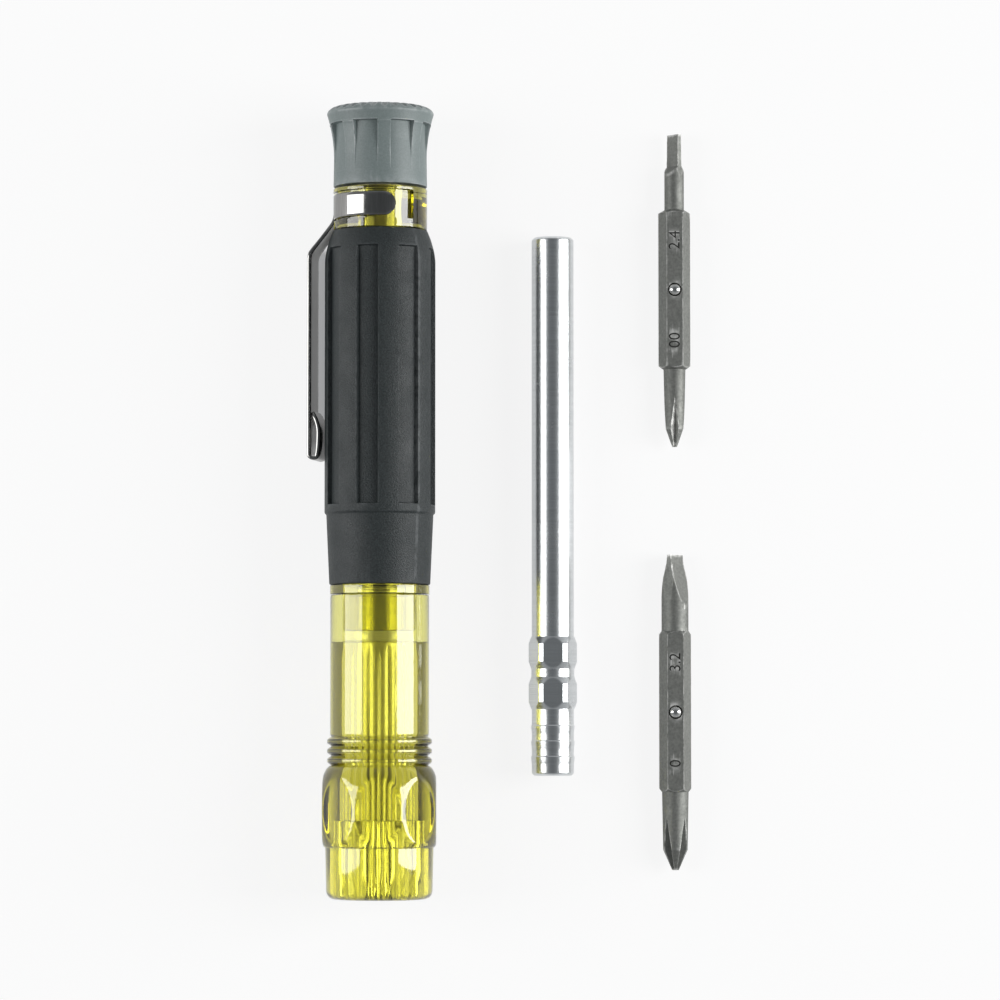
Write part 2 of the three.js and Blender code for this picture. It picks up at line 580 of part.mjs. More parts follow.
// Shaft: one turned aluminium bar, hexagon sockets at both ends, two drive collars and a
// ridged tail
function shaft() {
  const collars = TAIL_LENGTH;
  const second = collars + COLLAR_LENGTH + GROOVE_LENGTH;
  const profile = [[0, 0], [SHAFT_RADIUS - SHAFT_EDGE, 0], [SHAFT_RADIUS, SHAFT_EDGE]];
  for (let i = 0; i < RIDGE_COUNT; i += 1) {
    const crest = RIDGE_START + i * RIDGE_PITCH;
    profile.push([SHAFT_RADIUS, crest - RIDGE_PITCH / 2]);
    profile.push([SHAFT_RADIUS + RIDGE_HEIGHT, crest]);
    profile.push([SHAFT_RADIUS, crest + RIDGE_HEIGHT]);
  }
  for (const [bottom, lower, upper] of [
    [collars, SHAFT_RADIUS, GROOVE_RADIUS],
    [second, GROOVE_RADIUS, SHAFT_RADIUS],
  ]) {
    profile.push([lower, bottom], [COLLAR_END_RADIUS, bottom]);
    profile.push([COLLAR_RADIUS, bottom + COLLAR_BEVEL]);
    profile.push([COLLAR_RADIUS, bottom + COLLAR_LENGTH - COLLAR_BEVEL]);
    profile.push([COLLAR_END_RADIUS, bottom + COLLAR_LENGTH]);
    profile.push([upper, bottom + COLLAR_LENGTH]);
  }
  const end = shaftLength;
  profile.push([SHAFT_RADIUS, end - SHAFT_EDGE], [SHAFT_RADIUS - SHAFT_EDGE, end], [0, end]);
  const socket = hexagon(BIT_FLATS + 2 * RUNNING_GAP, 2 * BIT_SOCKET_DEPTH);
  const tailSocket = socket.clone().translate(0, -BIT_SOCKET_DEPTH, 0);
  const frontSocket = socket.clone().translate(0, end - BIT_SOCKET_DEPTH, 0);
  return turned(profile, SHAFT_FACETS)
    .intersect(solid(hexagon(COLLAR_FLATS, end + 2 * OVERCUT).translate(0, -OVERCUT, 0)))
    .subtract(solid(tailSocket))
    .subtract(solid(frontSocket));
}

// A slab centred on the axis whose faces stand at the given half heights along Y; the faces look
// towards the turn, in degrees from +Z towards +X
function slab(halfHeights, turn) {
  const front = halfHeights.map(([half, y]) => new THREE.Vector2(half, y));
  const back = halfHeights.map(([half, y]) => new THREE.Vector2(-half, y)).reverse();
  const options = { depth: 2 * BIT_FLATS, bevelEnabled: false };
  const block = new THREE.ExtrudeGeometry(new THREE.Shape([...front, ...back]), options);
  return solid(block.translate(0, 0, -BIT_FLATS).rotateY(degrees(turn - 90)));
}

// Bit: one hardened steel bar, hexagonal in the middle, with a cross point below and a blade above
function bit(size) {
  const corner = (BIT_FLATS / 2) * HEX_CORNER;
  const profile = [
    [0, 0],
    [size.tip / 2, 0],
    [size.crossFront / 2, size.pointLength],
    [size.crossRear / 2, BIT_CROSS_LENGTH],
    [corner, BIT_CROSS_LENGTH + BIT_HEX_CHAMFER],
    [corner, hexTop - BIT_HEX_CHAMFER],
    [size.bladeShank / 2, hexTop],
    [size.bladeShank / 2, bitLength],
    [0, bitLength],
  ];
  const bladeRoot = bitLength - size.bladeLength;
  const runoutEnd = bladeRoot - size.bladeRunout;
  const thickness = [
    [BIT_FLATS, -OVERCUT],
    [BIT_FLATS, runoutEnd - PARTING_GAP],
    [size.bladeShank / 2, runoutEnd],
    [size.bladeThickness / 2 + BLADE_TAPER, bladeRoot],
    [size.bladeThickness / 2, bitLength + OVERCUT],
  ];
  const width = [
    [BIT_FLATS, -OVERCUT],
    [BIT_FLATS, runoutEnd - PARTING_GAP],
    [size.bladeShank / 2, runoutEnd],
    [size.bladeWidth / 2, bladeRoot],
    [size.bladeWidth / 2, bitLength + OVERCUT],
  ];
  let body = turned(profile, BIT_FACETS)
    .intersect(solid(hexagon(BIT_FLATS, bitLength + 2 * OVERCUT).translate(0, -OVERCUT, 0)))
    .intersect(slab(thickness, size.bladeTurn))
    .intersect(slab(width, size.bladeTurn + QUARTER_TURN));
  const fluteRise = Math.atan2(size.crossFront / 2 - size.web, size.fluteLength);
  for (let i = 0; i < FLUTE_COUNT; i += 1) {
    const flute = new THREE.BoxGeometry(BIT_FLATS, 4 * size.fluteLength, BIT_FLATS);
    flute.rotateY(Math.PI / 4).translate(0, 0, BIT_FLATS / Math.SQRT2);
    flute.rotateX(fluteRise).translate(0, 0, size.web);
    body = body.subtract(solid(flute.rotateY(degrees(size.fluteTurn + (360 / FLUTE_COUNT) * i))));
  }
  const lipBottom = BIT_FLATS / 2 - BALL_LIP;
  const lipRadius = Math.sqrt(BALL_RADIUS ** 2 - (lipBottom - ballHeight) ** 2) + BALL_GAP / 2;
  const hole = lathe(
    [
      [0, catchFloor],
      [BALL_RADIUS + BALL_GAP, catchFloor],
      [BALL_RADIUS + BALL_GAP, lipBottom],
      [lipRadius, lipBottom],
      [lipRadius, BIT_FLATS],
      [0, BIT_FLATS],
    ],
    BALL_FACETS,
  );
  return body.subtract(solid(hole.rotateX(Math.PI / 2).translate(0, bitLength / 2, 0)));
}

// Catch ball and the spring under it, in the bit's cross hole
function catchBall() {
  const ball = new THREE.SphereGeometry(BALL_RADIUS, BALL_FACETS, BALL_FACETS / 2);
  return solid(ball.rotateX(Math.PI / 2).translate(0, bitLength / 2, ballHeight));
}

class Helix extends THREE.Curve {
  getPoint(t, target = new THREE.Vector3()) {
    const radius = BALL_RADIUS - SPRING_WIRE_RADIUS - SPRING_GAP - BALL_GAP;
    const inset = SPRING_WIRE_RADIUS + SPRING_GAP;
    const turn = 2 * Math.PI * SPRING_TURNS * t;
    const height = THREE.MathUtils.lerp(catchFloor + inset, ballHeight - BALL_RADIUS - inset, t);
    return target.set(radius * Math.cos(turn), bitLength / 2 + radius * Math.sin(turn), height);
  }
}

function catchSpring() {
  const wire = new THREE.Shape().absarc(0, 0, SPRING_WIRE_RADIUS, 0, 2 * Math.PI, false);
  return solid(
    new THREE.ExtrudeGeometry(wire, {
      steps: Math.round(SPRING_TURNS * SPRING_STEPS),
      curveSegments: WIRE_STEPS,
      extrudePath: new Helix(),
    }),
  );
}

const smallBit = {
  bladeWidth: SMALL_BLADE_WIDTH,
  bladeThickness: SMALL_BLADE_THICKNESS,
  bladeLength: SMALL_BLADE_LENGTH,
  bladeRunout: SMALL_BLADE_RUNOUT,
  bladeTurn: SMALL_BLADE_TURN,
  bladeShank: SMALL_BLADE_SHANK,
  crossFront: SMALL_CROSS_FRONT,
  crossRear: SMALL_CROSS_REAR,
  pointLength: SMALL_POINT_LENGTH,
  tip: SMALL_TIP,
  web: SMALL_WEB,
  fluteLength: SMALL_FLUTE_LENGTH,
  fluteTurn: SMALL_FLUTE_TURN,
};
const largeBit = {
  bladeWidth: LARGE_BLADE_WIDTH,
  bladeThickness: LARGE_BLADE_THICKNESS,
  bladeLength: LARGE_BLADE_LENGTH,
  bladeRunout: LARGE_BLADE_RUNOUT,
  bladeTurn: LARGE_BLADE_TURN,
  bladeShank: LARGE_BLADE_SHANK,
  crossFront: LARGE_CROSS_FRONT,
  crossRear: LARGE_CROSS_REAR,
  pointLength: LARGE_POINT_LENGTH,
  tip: LARGE_TIP,
  web: LARGE_WEB,
  fluteLength: LARGE_FLUTE_LENGTH,
  fluteTurn: LARGE_FLUTE_TURN,
};

// Named meshes, grouped as they lie on the table
function piece(name, body, look) {
  const mesh = new THREE.Mesh(geometryOf(body), new THREE.MeshStandardMaterial(look));
  mesh.name = name;
  return mesh;
}

const clearPlastic = { color: 0xd8d020, roughness: 0.1, transparent: true, opacity: 0.6 };
const rubber = { color: 0x2d3234, roughness: 0.85 };
const greyPlastic = { color: 0x788284, roughness: 0.6 };
const springSteel = { color: 0xd0d0cc, roughness: 0.2, metalness: 1 };
const aluminium = { color: 0xc8cccf, roughness: 0.3, metalness: 1 };
const toolSteel = { color: 0x73766f, roughness: 0.45, metalness: 1 };
const naturalNylon = { color: 0xe8e4d8, roughness: 0.6 };

const handle = new THREE.Group();
handle.add(
  piece("front_barrel", frontBarrel(), clearPlastic),
  piece("rear_core", rearCore(), clearPlastic),
  piece("grip_sleeve", gripSleeve(), rubber),
  piece("swivel_cap", swivelCap(), greyPlastic),
  piece("cap_spindle", capSpindle(), naturalNylon),
  piece("cap_washer", capWasher(), naturalNylon),
  piece("pocket_clip", pocketClip(), springSteel),
);
handle.getObjectByName("pocket_clip").rotation.y = degrees(CLIP_BEARING);
handle.position.set(0, -capTop / 2, FLAT_DISTANCE);

const shaftMesh = piece("shaft", shaft(), aluminium);
shaftMesh.position.set(HANDLE_TO_SHAFT, SHAFT_LIE - shaftLength / 2, COLLAR_FLATS / 2);

function bitGroup(name, size, middle) {
  const group = new THREE.Group();
  group.add(
    piece(name, bit(size), toolSteel),
    piece(name + "_ball", catchBall(), springSteel),
    piece(name + "_spring", catchSpring(), springSteel),
  );
  group.position.set(HANDLE_TO_SHAFT + SHAFT_TO_BITS, middle - bitLength / 2, BIT_FLATS / 2);
  return group;
}

const screwdriver = new THREE.Group();
screwdriver.name = "electronics_screwdriver";
screwdriver.add(
  handle,
  shaftMesh,
  bitGroup("small_bit", smallBit, BITS_LIE + BITS_SPACING / 2),
  bitGroup("large_bit", largeBit, BITS_LIE - BITS_SPACING / 2),
);

// The origin is the middle of the table area the pieces cover
screwdriver.updateMatrixWorld(true);
const box = new THREE.Box3().setFromObject(screwdriver, true);
const middle = box.getCenter(new THREE.Vector3());
screwdriver.position.set(-middle.x, -middle.y, -box.min.z);

export default screwdriver;
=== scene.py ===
import math

import bmesh
import bpy
import numpy as np
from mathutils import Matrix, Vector


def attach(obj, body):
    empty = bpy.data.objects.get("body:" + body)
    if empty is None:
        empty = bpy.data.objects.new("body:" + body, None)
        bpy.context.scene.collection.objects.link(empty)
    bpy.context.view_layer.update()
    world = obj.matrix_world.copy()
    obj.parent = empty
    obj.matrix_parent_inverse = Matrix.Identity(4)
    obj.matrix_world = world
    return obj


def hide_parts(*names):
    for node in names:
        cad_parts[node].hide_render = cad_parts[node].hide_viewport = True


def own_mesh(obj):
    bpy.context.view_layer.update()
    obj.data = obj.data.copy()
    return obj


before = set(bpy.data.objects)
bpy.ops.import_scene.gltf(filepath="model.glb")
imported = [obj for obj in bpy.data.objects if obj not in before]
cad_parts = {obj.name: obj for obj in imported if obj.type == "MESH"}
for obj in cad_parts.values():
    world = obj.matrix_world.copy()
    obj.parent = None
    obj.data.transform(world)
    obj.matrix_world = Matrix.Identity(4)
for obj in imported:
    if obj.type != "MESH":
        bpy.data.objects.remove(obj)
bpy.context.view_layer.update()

# Front barrel
# The front half of the handle, one thick injection moulding in clear yellow plastic with eight
# finger flats and three rings. The shaft drops into its socket; the rear core is cemented into it.
MM = 0.001
NOSE = Vector((-17.055, -56.3, 8.05))  # centre of the nose's end face, where stations start
BORE = 3.325
MOUTH_CHAMFER = 0.7
SOCKET_DEPTH = 11.1
SOCKET_GROOVES = 18
GROOVE_DEPTH = 1.175
BORE_RIBS = 20
BORE_RIB_DEPTH = 0.14
RIBS_END = 33.6
RIBS_RUNOUT = 2.0
COUNTERBORE = 5.325
COUNTERBORE_END = 36.23
NOSE_RADIUS, NOSE_ROUNDING = 7.5, 1.4
SHOULDER_RADIUS, SHOULDER = 7.66, 7.3
BULGE_RADIUS, BULGE = 8.62, 12.6
FINGER_FLATS = 8
FLAT_HALF = 8.05  # from the axis to a flat
WAIST_RADIUS, WAIST = 6.84, 18.9
RINGS = 3
RING_PITCH = 1.36
RING_RADIUS = 7.42
TUBE_RADIUS = 7.0
BARREL_TOP = 42.98


def bent(start, middle, end, count):
    """Points along a smooth bend from start to end that is drawn towards middle."""
    return [start.lerp(middle, t).lerp(middle.lerp(end, t), t) for t in np.linspace(0, 1, count)]


def rounded(corners, steps=5):
    """A profile through corners given as radius, station and how far back its rounding starts."""
    points = []
    for i, (radius, station, cut) in enumerate(corners):
        corner = Vector((radius, station))
        if cut == 0:
            points.append(corner)
            continue
        before = Vector(corners[i - 1][:2])
        after = Vector(corners[(i + 1) % len(corners)][:2])
        start = corner + (before - corner).normalized() * cut
        end = corner + (after - corner).normalized() * cut
        points += bent(start, corner, end, steps + 1)
    return points


def skin(rows, columns, closed=False):
    """Four-sided faces over rows of points that each run round a ring."""
    faces = []
    for i in range(rows if closed else rows - 1):
        k = (i + 1) % rows
        for j in range(columns):
            m = (j + 1) % columns
            faces.append((i * columns + j, i * columns + m, k * columns + m, k * columns + j))
    return faces


def finish_mesh(name, places, faces, sharp):
    """An object from points in millimetres, smooth but for edges over the sharp angle."""
    mesh = bpy.data.meshes.new(name)
    mesh.from_pydata((np.asarray(places) * MM).tolist(), [], faces)
    work = bmesh.new()
    work.from_mesh(mesh)
    bmesh.ops.remove_doubles(work, verts=work.verts, dist=1e-8)
    bmesh.ops.recalc_face_normals(work, faces=work.faces)
    work.to_mesh(mesh)
    work.free()
    mesh.shade_smooth()
    mesh.set_sharp_from_angle(angle=math.radians(sharp))
    piece = bpy.data.objects.new(name, mesh)
    bpy.context.scene.collection.objects.link(piece)
    return piece


def turned(name, profile, angles, place, shape, sharp=35):
    """A piece swept round its axis; shape moves the grid of radii and stations."""
    rows, columns = len(profile), len(angles)
    radii = np.array([[p[0]] for p in profile]) + np.zeros(columns)
    stations = np.array([[p[1]] for p in profile]) + np.zeros(columns)
    turn = np.array(angles)[None, :] + np.zeros((rows, 1))
    radii, stations = shape(radii, stations, turn)
    x = place.x + radii * np.sin(turn)
    y = place.y + stations
    z = place.z + radii * np.cos(turn)
    places = np.stack((x, y, z), axis=-1).reshape(-1, 3)
    return finish_mesh(name, places, skin(rows, columns, profile[0][0] > 0), sharp)


def apart(turn, bearing):
    """The angle between two bearings, whichever way round is shorter."""
    return np.abs((turn - bearing + math.pi) % (2 * math.pi) - math.pi)


def around(count, edges=(), soft=0.0):
    """Angles round the axis, with close pairs at each edge so that its wall stands steep."""
    turns = [2 * math.pi * i / count for i in range(count)]
    near = [math.radians(edge) % (2 * math.pi) for edge in edges]
    gap = math.radians(soft)
    kept = [turn for turn in turns if all(apart(turn, edge) > 2 * gap for edge in near)]
    for edge in near:
        kept += [(edge + gap * side) % (2 * math.pi) for side in (-1.6, -0.8, 0.8, 1.6)]
    return sorted(kept)


def polygon(turn, sides, half_flats):
    """Radius of a regular polygon with a flat facing up."""
    step = 2 * math.pi / sides
    return half_flats / np.cos((turn + step / 2) % step - step / 2)


def softly_less(a, b, blend):
    """The lesser of two radii, with the edge where they meet rounded."""
    return -blend * np.logaddexp(-a / blend, -b / blend)


def barrel_outline():
    nose = [(BORE + MOUTH_CHAMFER, 0, 0.15), (NOSE_RADIUS, 0, NOSE_ROUNDING)]
    points = rounded(nose + [(SHOULDER_RADIUS, SHOULDER, 0)], 8)[:-1]
    for t in np.linspace(-math.pi / 2, 0, 16):
        radius = SHOULDER_RADIUS + (BULGE_RADIUS - SHOULDER_RADIUS) * math.cos(t)
        points.append((radius, BULGE + (BULGE - SHOULDER) * math.sin(t)))
    for t in np.linspace(0, math.pi / 2, 20)[1:]:
        radius = WAIST_RADIUS + (BULGE_RADIUS - WAIST_RADIUS) * math.cos(t)
        points.append((radius, BULGE + (WAIST - BULGE) * math.sin(t)))
    rear = [(WAIST_RADIUS, WAIST - 0.3, 0)]
    for i in range(RINGS):
        foot = WAIST + RING_PITCH * i
        rear += [(WAIST_RADIUS, foot, 0.1)]
        rear += [(RING_RADIUS, foot + step, 0.17) for step in (0.41, 0.95)]
    tube_foot = WAIST + RING_PITCH * RINGS
    rear += [(WAIST_RADIUS, tube_foot, 0.1), (TUBE_RADIUS, tube_foot + 0.25, 0.1)]
    rear += [(TUBE_RADIUS, BARREL_TOP, 0.12)]
    rear += [(COUNTERBORE, BARREL_TOP, 0.1), (COUNTERBORE, COUNTERBORE_END, 0.1)]
    rear += [(BORE, COUNTERBORE_END, 0.1), (BORE, RIBS_END + RIBS_RUNOUT, 0)]
    rear += [(BORE, RIBS_END, 0), (BORE, SOCKET_DEPTH + 0.1, 0)]
    points += rounded(rear)[1:]
    socket = (SOCKET_DEPTH - 0.02, 8.0, 4.0, MOUTH_CHAMFER + 0.02)
    return points + [(BORE, station) for station in socket]


def flats_and_socket(radii, stations, turn):
    flats = softly_less(radii, polygon(turn, FINGER_FLATS, FLAT_HALF), 0.035)
    radii = np.where(radii > TUBE_RADIUS, flats, radii)
    groove = 1 - np.abs((turn * SOCKET_GROOVES / math.pi) % 2 - 1)
    star = BORE + GROOVE_DEPTH * groove
    socket = (radii < COUNTERBORE - 0.3) & (stations < SOCKET_DEPTH)
    ribbed = (radii < BORE + 0.01) & (stations > SOCKET_DEPTH)
    depth = np.interp(stations, [RIBS_END, RIBS_END + RIBS_RUNOUT], [BORE_RIB_DEPTH, 0.0])
    ribs = BORE + depth * np.abs(np.sin(BORE_RIBS / 2 * turn))
    radii = np.where(ribbed, ribs, radii)
    return np.where(socket, np.maximum(radii, star), radii), stations


def add(tree, kind, **inputs):
    """A node with values on its inputs; an underscore in a name stands for a space."""
    made = tree.nodes.new(kind)
    for label, value in inputs.items():
        made.inputs[label.replace("_", " ")].default_value = value
    return made


def effect(name, inputs, output):
    """A shader node group with named number sockets."""
    group = bpy.data.node_groups.new(name, "ShaderNodeTree")
    for label, value in inputs:
        socket = group.interface.new_socket(label, in_out="INPUT", socket_type="NodeSocketFloat")
        socket.default_value = value
    group.interface.new_socket(output, in_out="OUTPUT", socket_type="NodeSocketFloat")
    given, made = group.nodes.new("NodeGroupInput"), group.nodes.new("NodeGroupOutput")
    return group, given.outputs, made.inputs, group.links.new


def handled_surface():
    """Roughness that wanders between two values, as skin grease and rubbing leave it."""
    group, given, made, link = effect(
        "handled_surface", [("Scale", 60.0), ("Clean", 0.1), ("Rubbed", 0.2)], "Roughness"
    )
    place = group.nodes.new("ShaderNodeTexCoord")
    cloud = add(group, "ShaderNodeTexNoise", Detail=4.0, Roughness=0.6)
    spread = add(group, "ShaderNodeMapRange", From_Min=0.35, From_Max=0.65)
    link(place.outputs["Object"], cloud.inputs["Vector"])
    link(given["Scale"], cloud.inputs["Scale"])
    link(cloud.outputs["Fac"], spread.inputs["Value"])
    link(given["Clean"], spread.inputs["To Min"])
    link(given["Rubbed"], spread.inputs["To Max"])
    link(spread.outputs["Result"], made["Roughness"])
    return group


HANDLED = handled_surface()


def use(material, group, **inputs):
    """Places an effect in a material with its own values and gives its output."""
    placed = material.node_tree.nodes.new("ShaderNodeGroup")
    placed.node_tree = group
    for label, value in inputs.items():
        placed.inputs[label].default_value = value
    return placed.outputs[0]


def new_material(name):
    """A material with its tree, its surface shader's inputs and its link function."""
    material = bpy.data.materials.new(name)
    material.use_nodes = True
    tree = material.node_tree
    return material, tree, tree.nodes["Principled BSDF"].inputs, tree.links.new


def two_tones(tree, factor, dark, pale, start=0.3, end=0.7):
    """A colour that runs from dark to pale as the factor rises from start to end."""
    ramp = tree.nodes.new("ShaderNodeValToRGB")
    stops = ramp.color_ramp.elements
    stops[0].position, stops[0].color = start, (*dark, 1)
    stops[1].position, stops[1].color = end, (*pale, 1)
    tree.links.new(factor, ramp.inputs["Fac"])
    return ramp.outputs["Color"]


def bump(tree, height, strength, distance):
    """A bump node fed by the given height socket."""
    made = add(tree, "ShaderNodeBump", Strength=strength, Distance=distance)
    tree.links.new(height, made.inputs["Height"])
    return made.outputs["Normal"]


def dress(piece, material, body, slot, *nodes):
    """Gives a piece its material if it has none, puts it under its body and hides the solids it
    stands for; slot is not used.
    """
    if not piece.data.materials:
        piece.data.materials.append(material)
    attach(piece, body)
    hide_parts(*nodes)


def clear_yellow_plastic():
    material, tree, surface, link = new_material("clear_yellow_plastic")
    place = tree.nodes.new("ShaderNodeTexCoord")
    flow = add(tree, "ShaderNodeTexNoise", Scale=45.0, Detail=2.0)
    link(place.outputs["Object"], flow.inputs["Vector"])
    tint = two_tones(tree, flow.outputs["Fac"], (0.89, 0.88, 0.44), (0.94, 0.93, 0.51))
    link(tint, surface["Base Color"])
    rough = use(material, HANDLED, Scale=160.0, Clean=0.015, Rubbed=0.06)
    link(rough, surface["Roughness"])
    link(bump(tree, flow.outputs["Fac"], 0.07, 0.0002), surface["Normal"])
    surface["Transmission Weight"].default_value = 1.0
    surface["IOR"].default_value = 1.56
    surface["Coat Weight"].default_value = 0.4
    surface["Coat IOR"].default_value = 1.6
    depth = add(tree, "ShaderNodeVolumeAbsorption", Color=(0.775, 0.745, 0.02, 1), Density=190.0)
    link(depth.outputs["Volume"], tree.nodes["Material Output"].inputs["Volume"])
    return material


YELLOW = clear_yellow_plastic()
front_barrel = turned(
    "clear_front_barrel", barrel_outline(), around(360), NOSE, flats_and_socket
)
dress(front_barrel, YELLOW, "handle", "clear_plastic", "front_barrel")

# Rear core
# The back half of the handle, a second clear moulding. Its spigot is cemented into the barrel, its
# tube carries the grip, and its neck is recessed for the clip's band and drilled for the spindle.
BORE_END = 86.6
SPIGOT_RADIUS, SPIGOT_END = 5.225, 37.78
CORE_COLLAR_RADIUS = 7.05
CORE_COLLAR_BOTTOM, CORE_COLLAR_TOP = 43.08, 44.38
CORE_TUBE_RADIUS = 5.6
NECK_RADIUS = 6.67
NECK_BOTTOM, NECK_TOP = 94.9, 100.8
SPINDLE_HOLE, SPINDLE_HOLE_END = 2.0, 91.8
CLIP_BEARING = -100.0
BAND_CENTRE = 98.17
RECESS_RADIUS = 6.02
RECESS_HALF = 146.0  # degrees either side of the clip
NOTCH_HALF = 21.5  # the same, for the notch where the clip's arm leaves
recess_bottom, recess_top = BAND_CENTRE - 2.05, BAND_CENTRE + 2.05


def core_outline():
    corners = [(0, BORE_END, 0), (BORE, BORE_END, 0.3), (BORE, SPIGOT_END, 0.3)]
    corners += [(SPIGOT_RADIUS, SPIGOT_END, 0.3), (SPIGOT_RADIUS, CORE_COLLAR_BOTTOM, 0.05)]
    corners += [(CORE_COLLAR_RADIUS, CORE_COLLAR_BOTTOM, 0.12)]
    corners += [(CORE_COLLAR_RADIUS, CORE_COLLAR_TOP, 0.12)]
    corners += [(CORE_TUBE_RADIUS, CORE_COLLAR_TOP, 0.1), (CORE_TUBE_RADIUS, NECK_BOTTOM, 0.1)]
    corners += [(NECK_RADIUS, NECK_BOTTOM, 0.1)]
    for edge in (recess_bottom, recess_top):
        corners += [(NECK_RADIUS, edge + step, 0) for step in (-0.1, -0.03, 0.03, 0.1)]
    corners += [(NECK_RADIUS, NECK_TOP, 0.15), (SPINDLE_HOLE, NECK_TOP, 0.1)]
    corners += [(SPINDLE_HOLE, SPINDLE_HOLE_END, 0.1), (0, SPINDLE_HOLE_END, 0)]
    return rounded(corners)


def band_recess(radii, stations, turn):
    away = np.degrees(apart(turn, math.radians(CLIP_BEARING)))
    on_neck = (radii > NECK_RADIUS - 0.2) & (stations > NECK_BOTTOM - 1.0)
    below_top = on_neck & (stations < recess_top)
    wrapped = below_top & (away < RECESS_HALF) & (stations > recess_bottom)
    notched = below_top & (away < NOTCH_HALF)
    return np.where(wrapped | notched, RECESS_RADIUS, radii), stations


recess_edges = [CLIP_BEARING - RECESS_HALF, CLIP_BEARING + RECESS_HALF]
recess_edges += [CLIP_BEARING - NOTCH_HALF, CLIP_BEARING + NOTCH_HALF]
rear_core = turned(
    "clear_rear_core", core_outline(), around(192, recess_edges, 0.3), NOSE, band_recess
)
dress(rear_core, YELLOW, "handle", "clear_plastic", "rear_core")

# Grip sleeve
# A soft black sleeve moulded over the core, with a plain skirt at its front and eight long sunk
# panels that give the fingers an edge. Its skin is a fine matte stipple.
SLEEVE_BORE = 5.7
SKIRT_FRONT, SKIRT_FRONT_RADIUS = 44.48, 7.16
SKIRT_END, SKIRT_END_RADIUS = 54.38, 7.6
GRIP_RADIUS = 7.86
GRIP_START, GRIP_SHOULDER, GRIP_END = 54.64, 90.4, 94.8
GRIP_END_RADIUS = 6.7
PANELS = 8
PANEL_FLOOR = 7.26
PANEL_HALF = 11.25  # degrees
PANEL_FIRST = -12.0  # the first panel's bearing
panel_pitch = 360.0 / PANELS
panel_bottom, panel_top = 55.78, 92.2


def grip_outline():
    corners = [(SLEEVE_BORE, SKIRT_FRONT, 0.1), (SKIRT_FRONT_RADIUS, SKIRT_FRONT, 0.2)]
    corners += [(SKIRT_END_RADIUS, SKIRT_END, 0.12), (GRIP_RADIUS, GRIP_START, 0.15)]
    corners += [(GRIP_RADIUS, panel_bottom + step, 0) for step in (-0.18, -0.06, 0.06, 0.18)]
    corners += [(GRIP_RADIUS, station, 0) for station in np.linspace(58, GRIP_SHOULDER, 16)]
    shoulder, end = Vector((GRIP_RADIUS, GRIP_SHOULDER)), Vector((GRIP_END_RADIUS, GRIP_END))
    dome = bent(shoulder, Vector((7.71, 92.6)), end, 25)[1:-1]
    rim = [(6.9, 94.4, 0), (GRIP_END_RADIUS, GRIP_END, 0.12)]
    rim += [(SLEEVE_BORE, GRIP_END, 0.1), (SLEEVE_BORE, 90.0, 0)]
    return rounded(corners) + dome + rounded(rim)[1:]


def off_nearest(turn, first, pitch):
    """Degrees from the nearest of a ring of evenly spaced bearings."""
    return np.abs((np.degrees(turn) - first + pitch / 2) % pitch - pitch / 2)


def sunk_panels(radii, stations, turn):
    facing = off_nearest(turn, PANEL_FIRST, panel_pitch) < PANEL_HALF
    sunk = facing & (stations > panel_bottom) & (stations < panel_top)
    outer = radii > SLEEVE_BORE + 0.5
    return np.where(sunk & outer, np.minimum(radii, PANEL_FLOOR), radii), stations


def moulded_grain():
    """The fine stipple that a tool's surface leaves on a moulding."""
    group, given, made, link = effect("moulded_grain", [("Scale", 4000.0)], "Height")
    place = group.nodes.new("ShaderNodeTexCoord")
    stipple = add(group, "ShaderNodeTexNoise", Detail=3.0, Roughness=0.55)
    link(place.outputs["Object"], stipple.inputs["Vector"])
    link(given["Scale"], stipple.inputs["Scale"])
    link(stipple.outputs["Fac"], made["Height"])
    return group


def working(tree, operation, kind="ShaderNodeMath"):
    """A mathematics node set to an operation."""
    made = tree.nodes.new(kind)
    made.operation = operation
    return made


def worn_and_highlit_edges():
    """A mask of the corners that are coloured brighter, as wear and as a painted highlight along
    the edges, broken up by noise.
    """
    group, given, made, link = effect("worn_and_highlit_edges", [("Start", 0.52), ("End", 0.58)], "Mask")
    place = group.nodes.new("ShaderNodeTexCoord")
    shape = group.nodes.new("ShaderNodeNewGeometry")
    corner = group.nodes.new("ShaderNodeMapRange")
    chips = add(group, "ShaderNodeTexNoise", Scale=900.0, Detail=4.0)
    broken = add(group, "ShaderNodeMapRange", From_Min=0.35, From_Max=0.6)
    both = working(group, "MULTIPLY")
    link(shape.outputs["Pointiness"], corner.inputs["Value"])
    link(given["Start"], corner.inputs["From Min"])
    link(given["End"], corner.inputs["From Max"])
    link(place.outputs["Object"], chips.inputs["Vector"])
    link(chips.outputs["Fac"], broken.inputs["Value"])
    link(corner.outputs["Result"], both.inputs[0])
    link(broken.outputs["Result"], both.inputs[1])
    link(both.outputs["Value"], made["Mask"])
    return group


GRAIN = moulded_grain()
WORN_AND_HIGHLIT = worn_and_highlit_edges()


def rubbed_and_highlit(tree, colour, mask, bright):
    """Shows a brighter colour where the mask marks a corner: partly wear, partly a painted
    highlight along the edge.
    """
    mix = tree.nodes.new("ShaderNodeMix")
    mix.data_type = "RGBA"
    mix.inputs["B"].default_value = (*bright, 1)
    tree.links.new(colour, mix.inputs["A"])
    tree.links.new(mask, mix.inputs["Factor"])
    return mix.outputs["Result"]


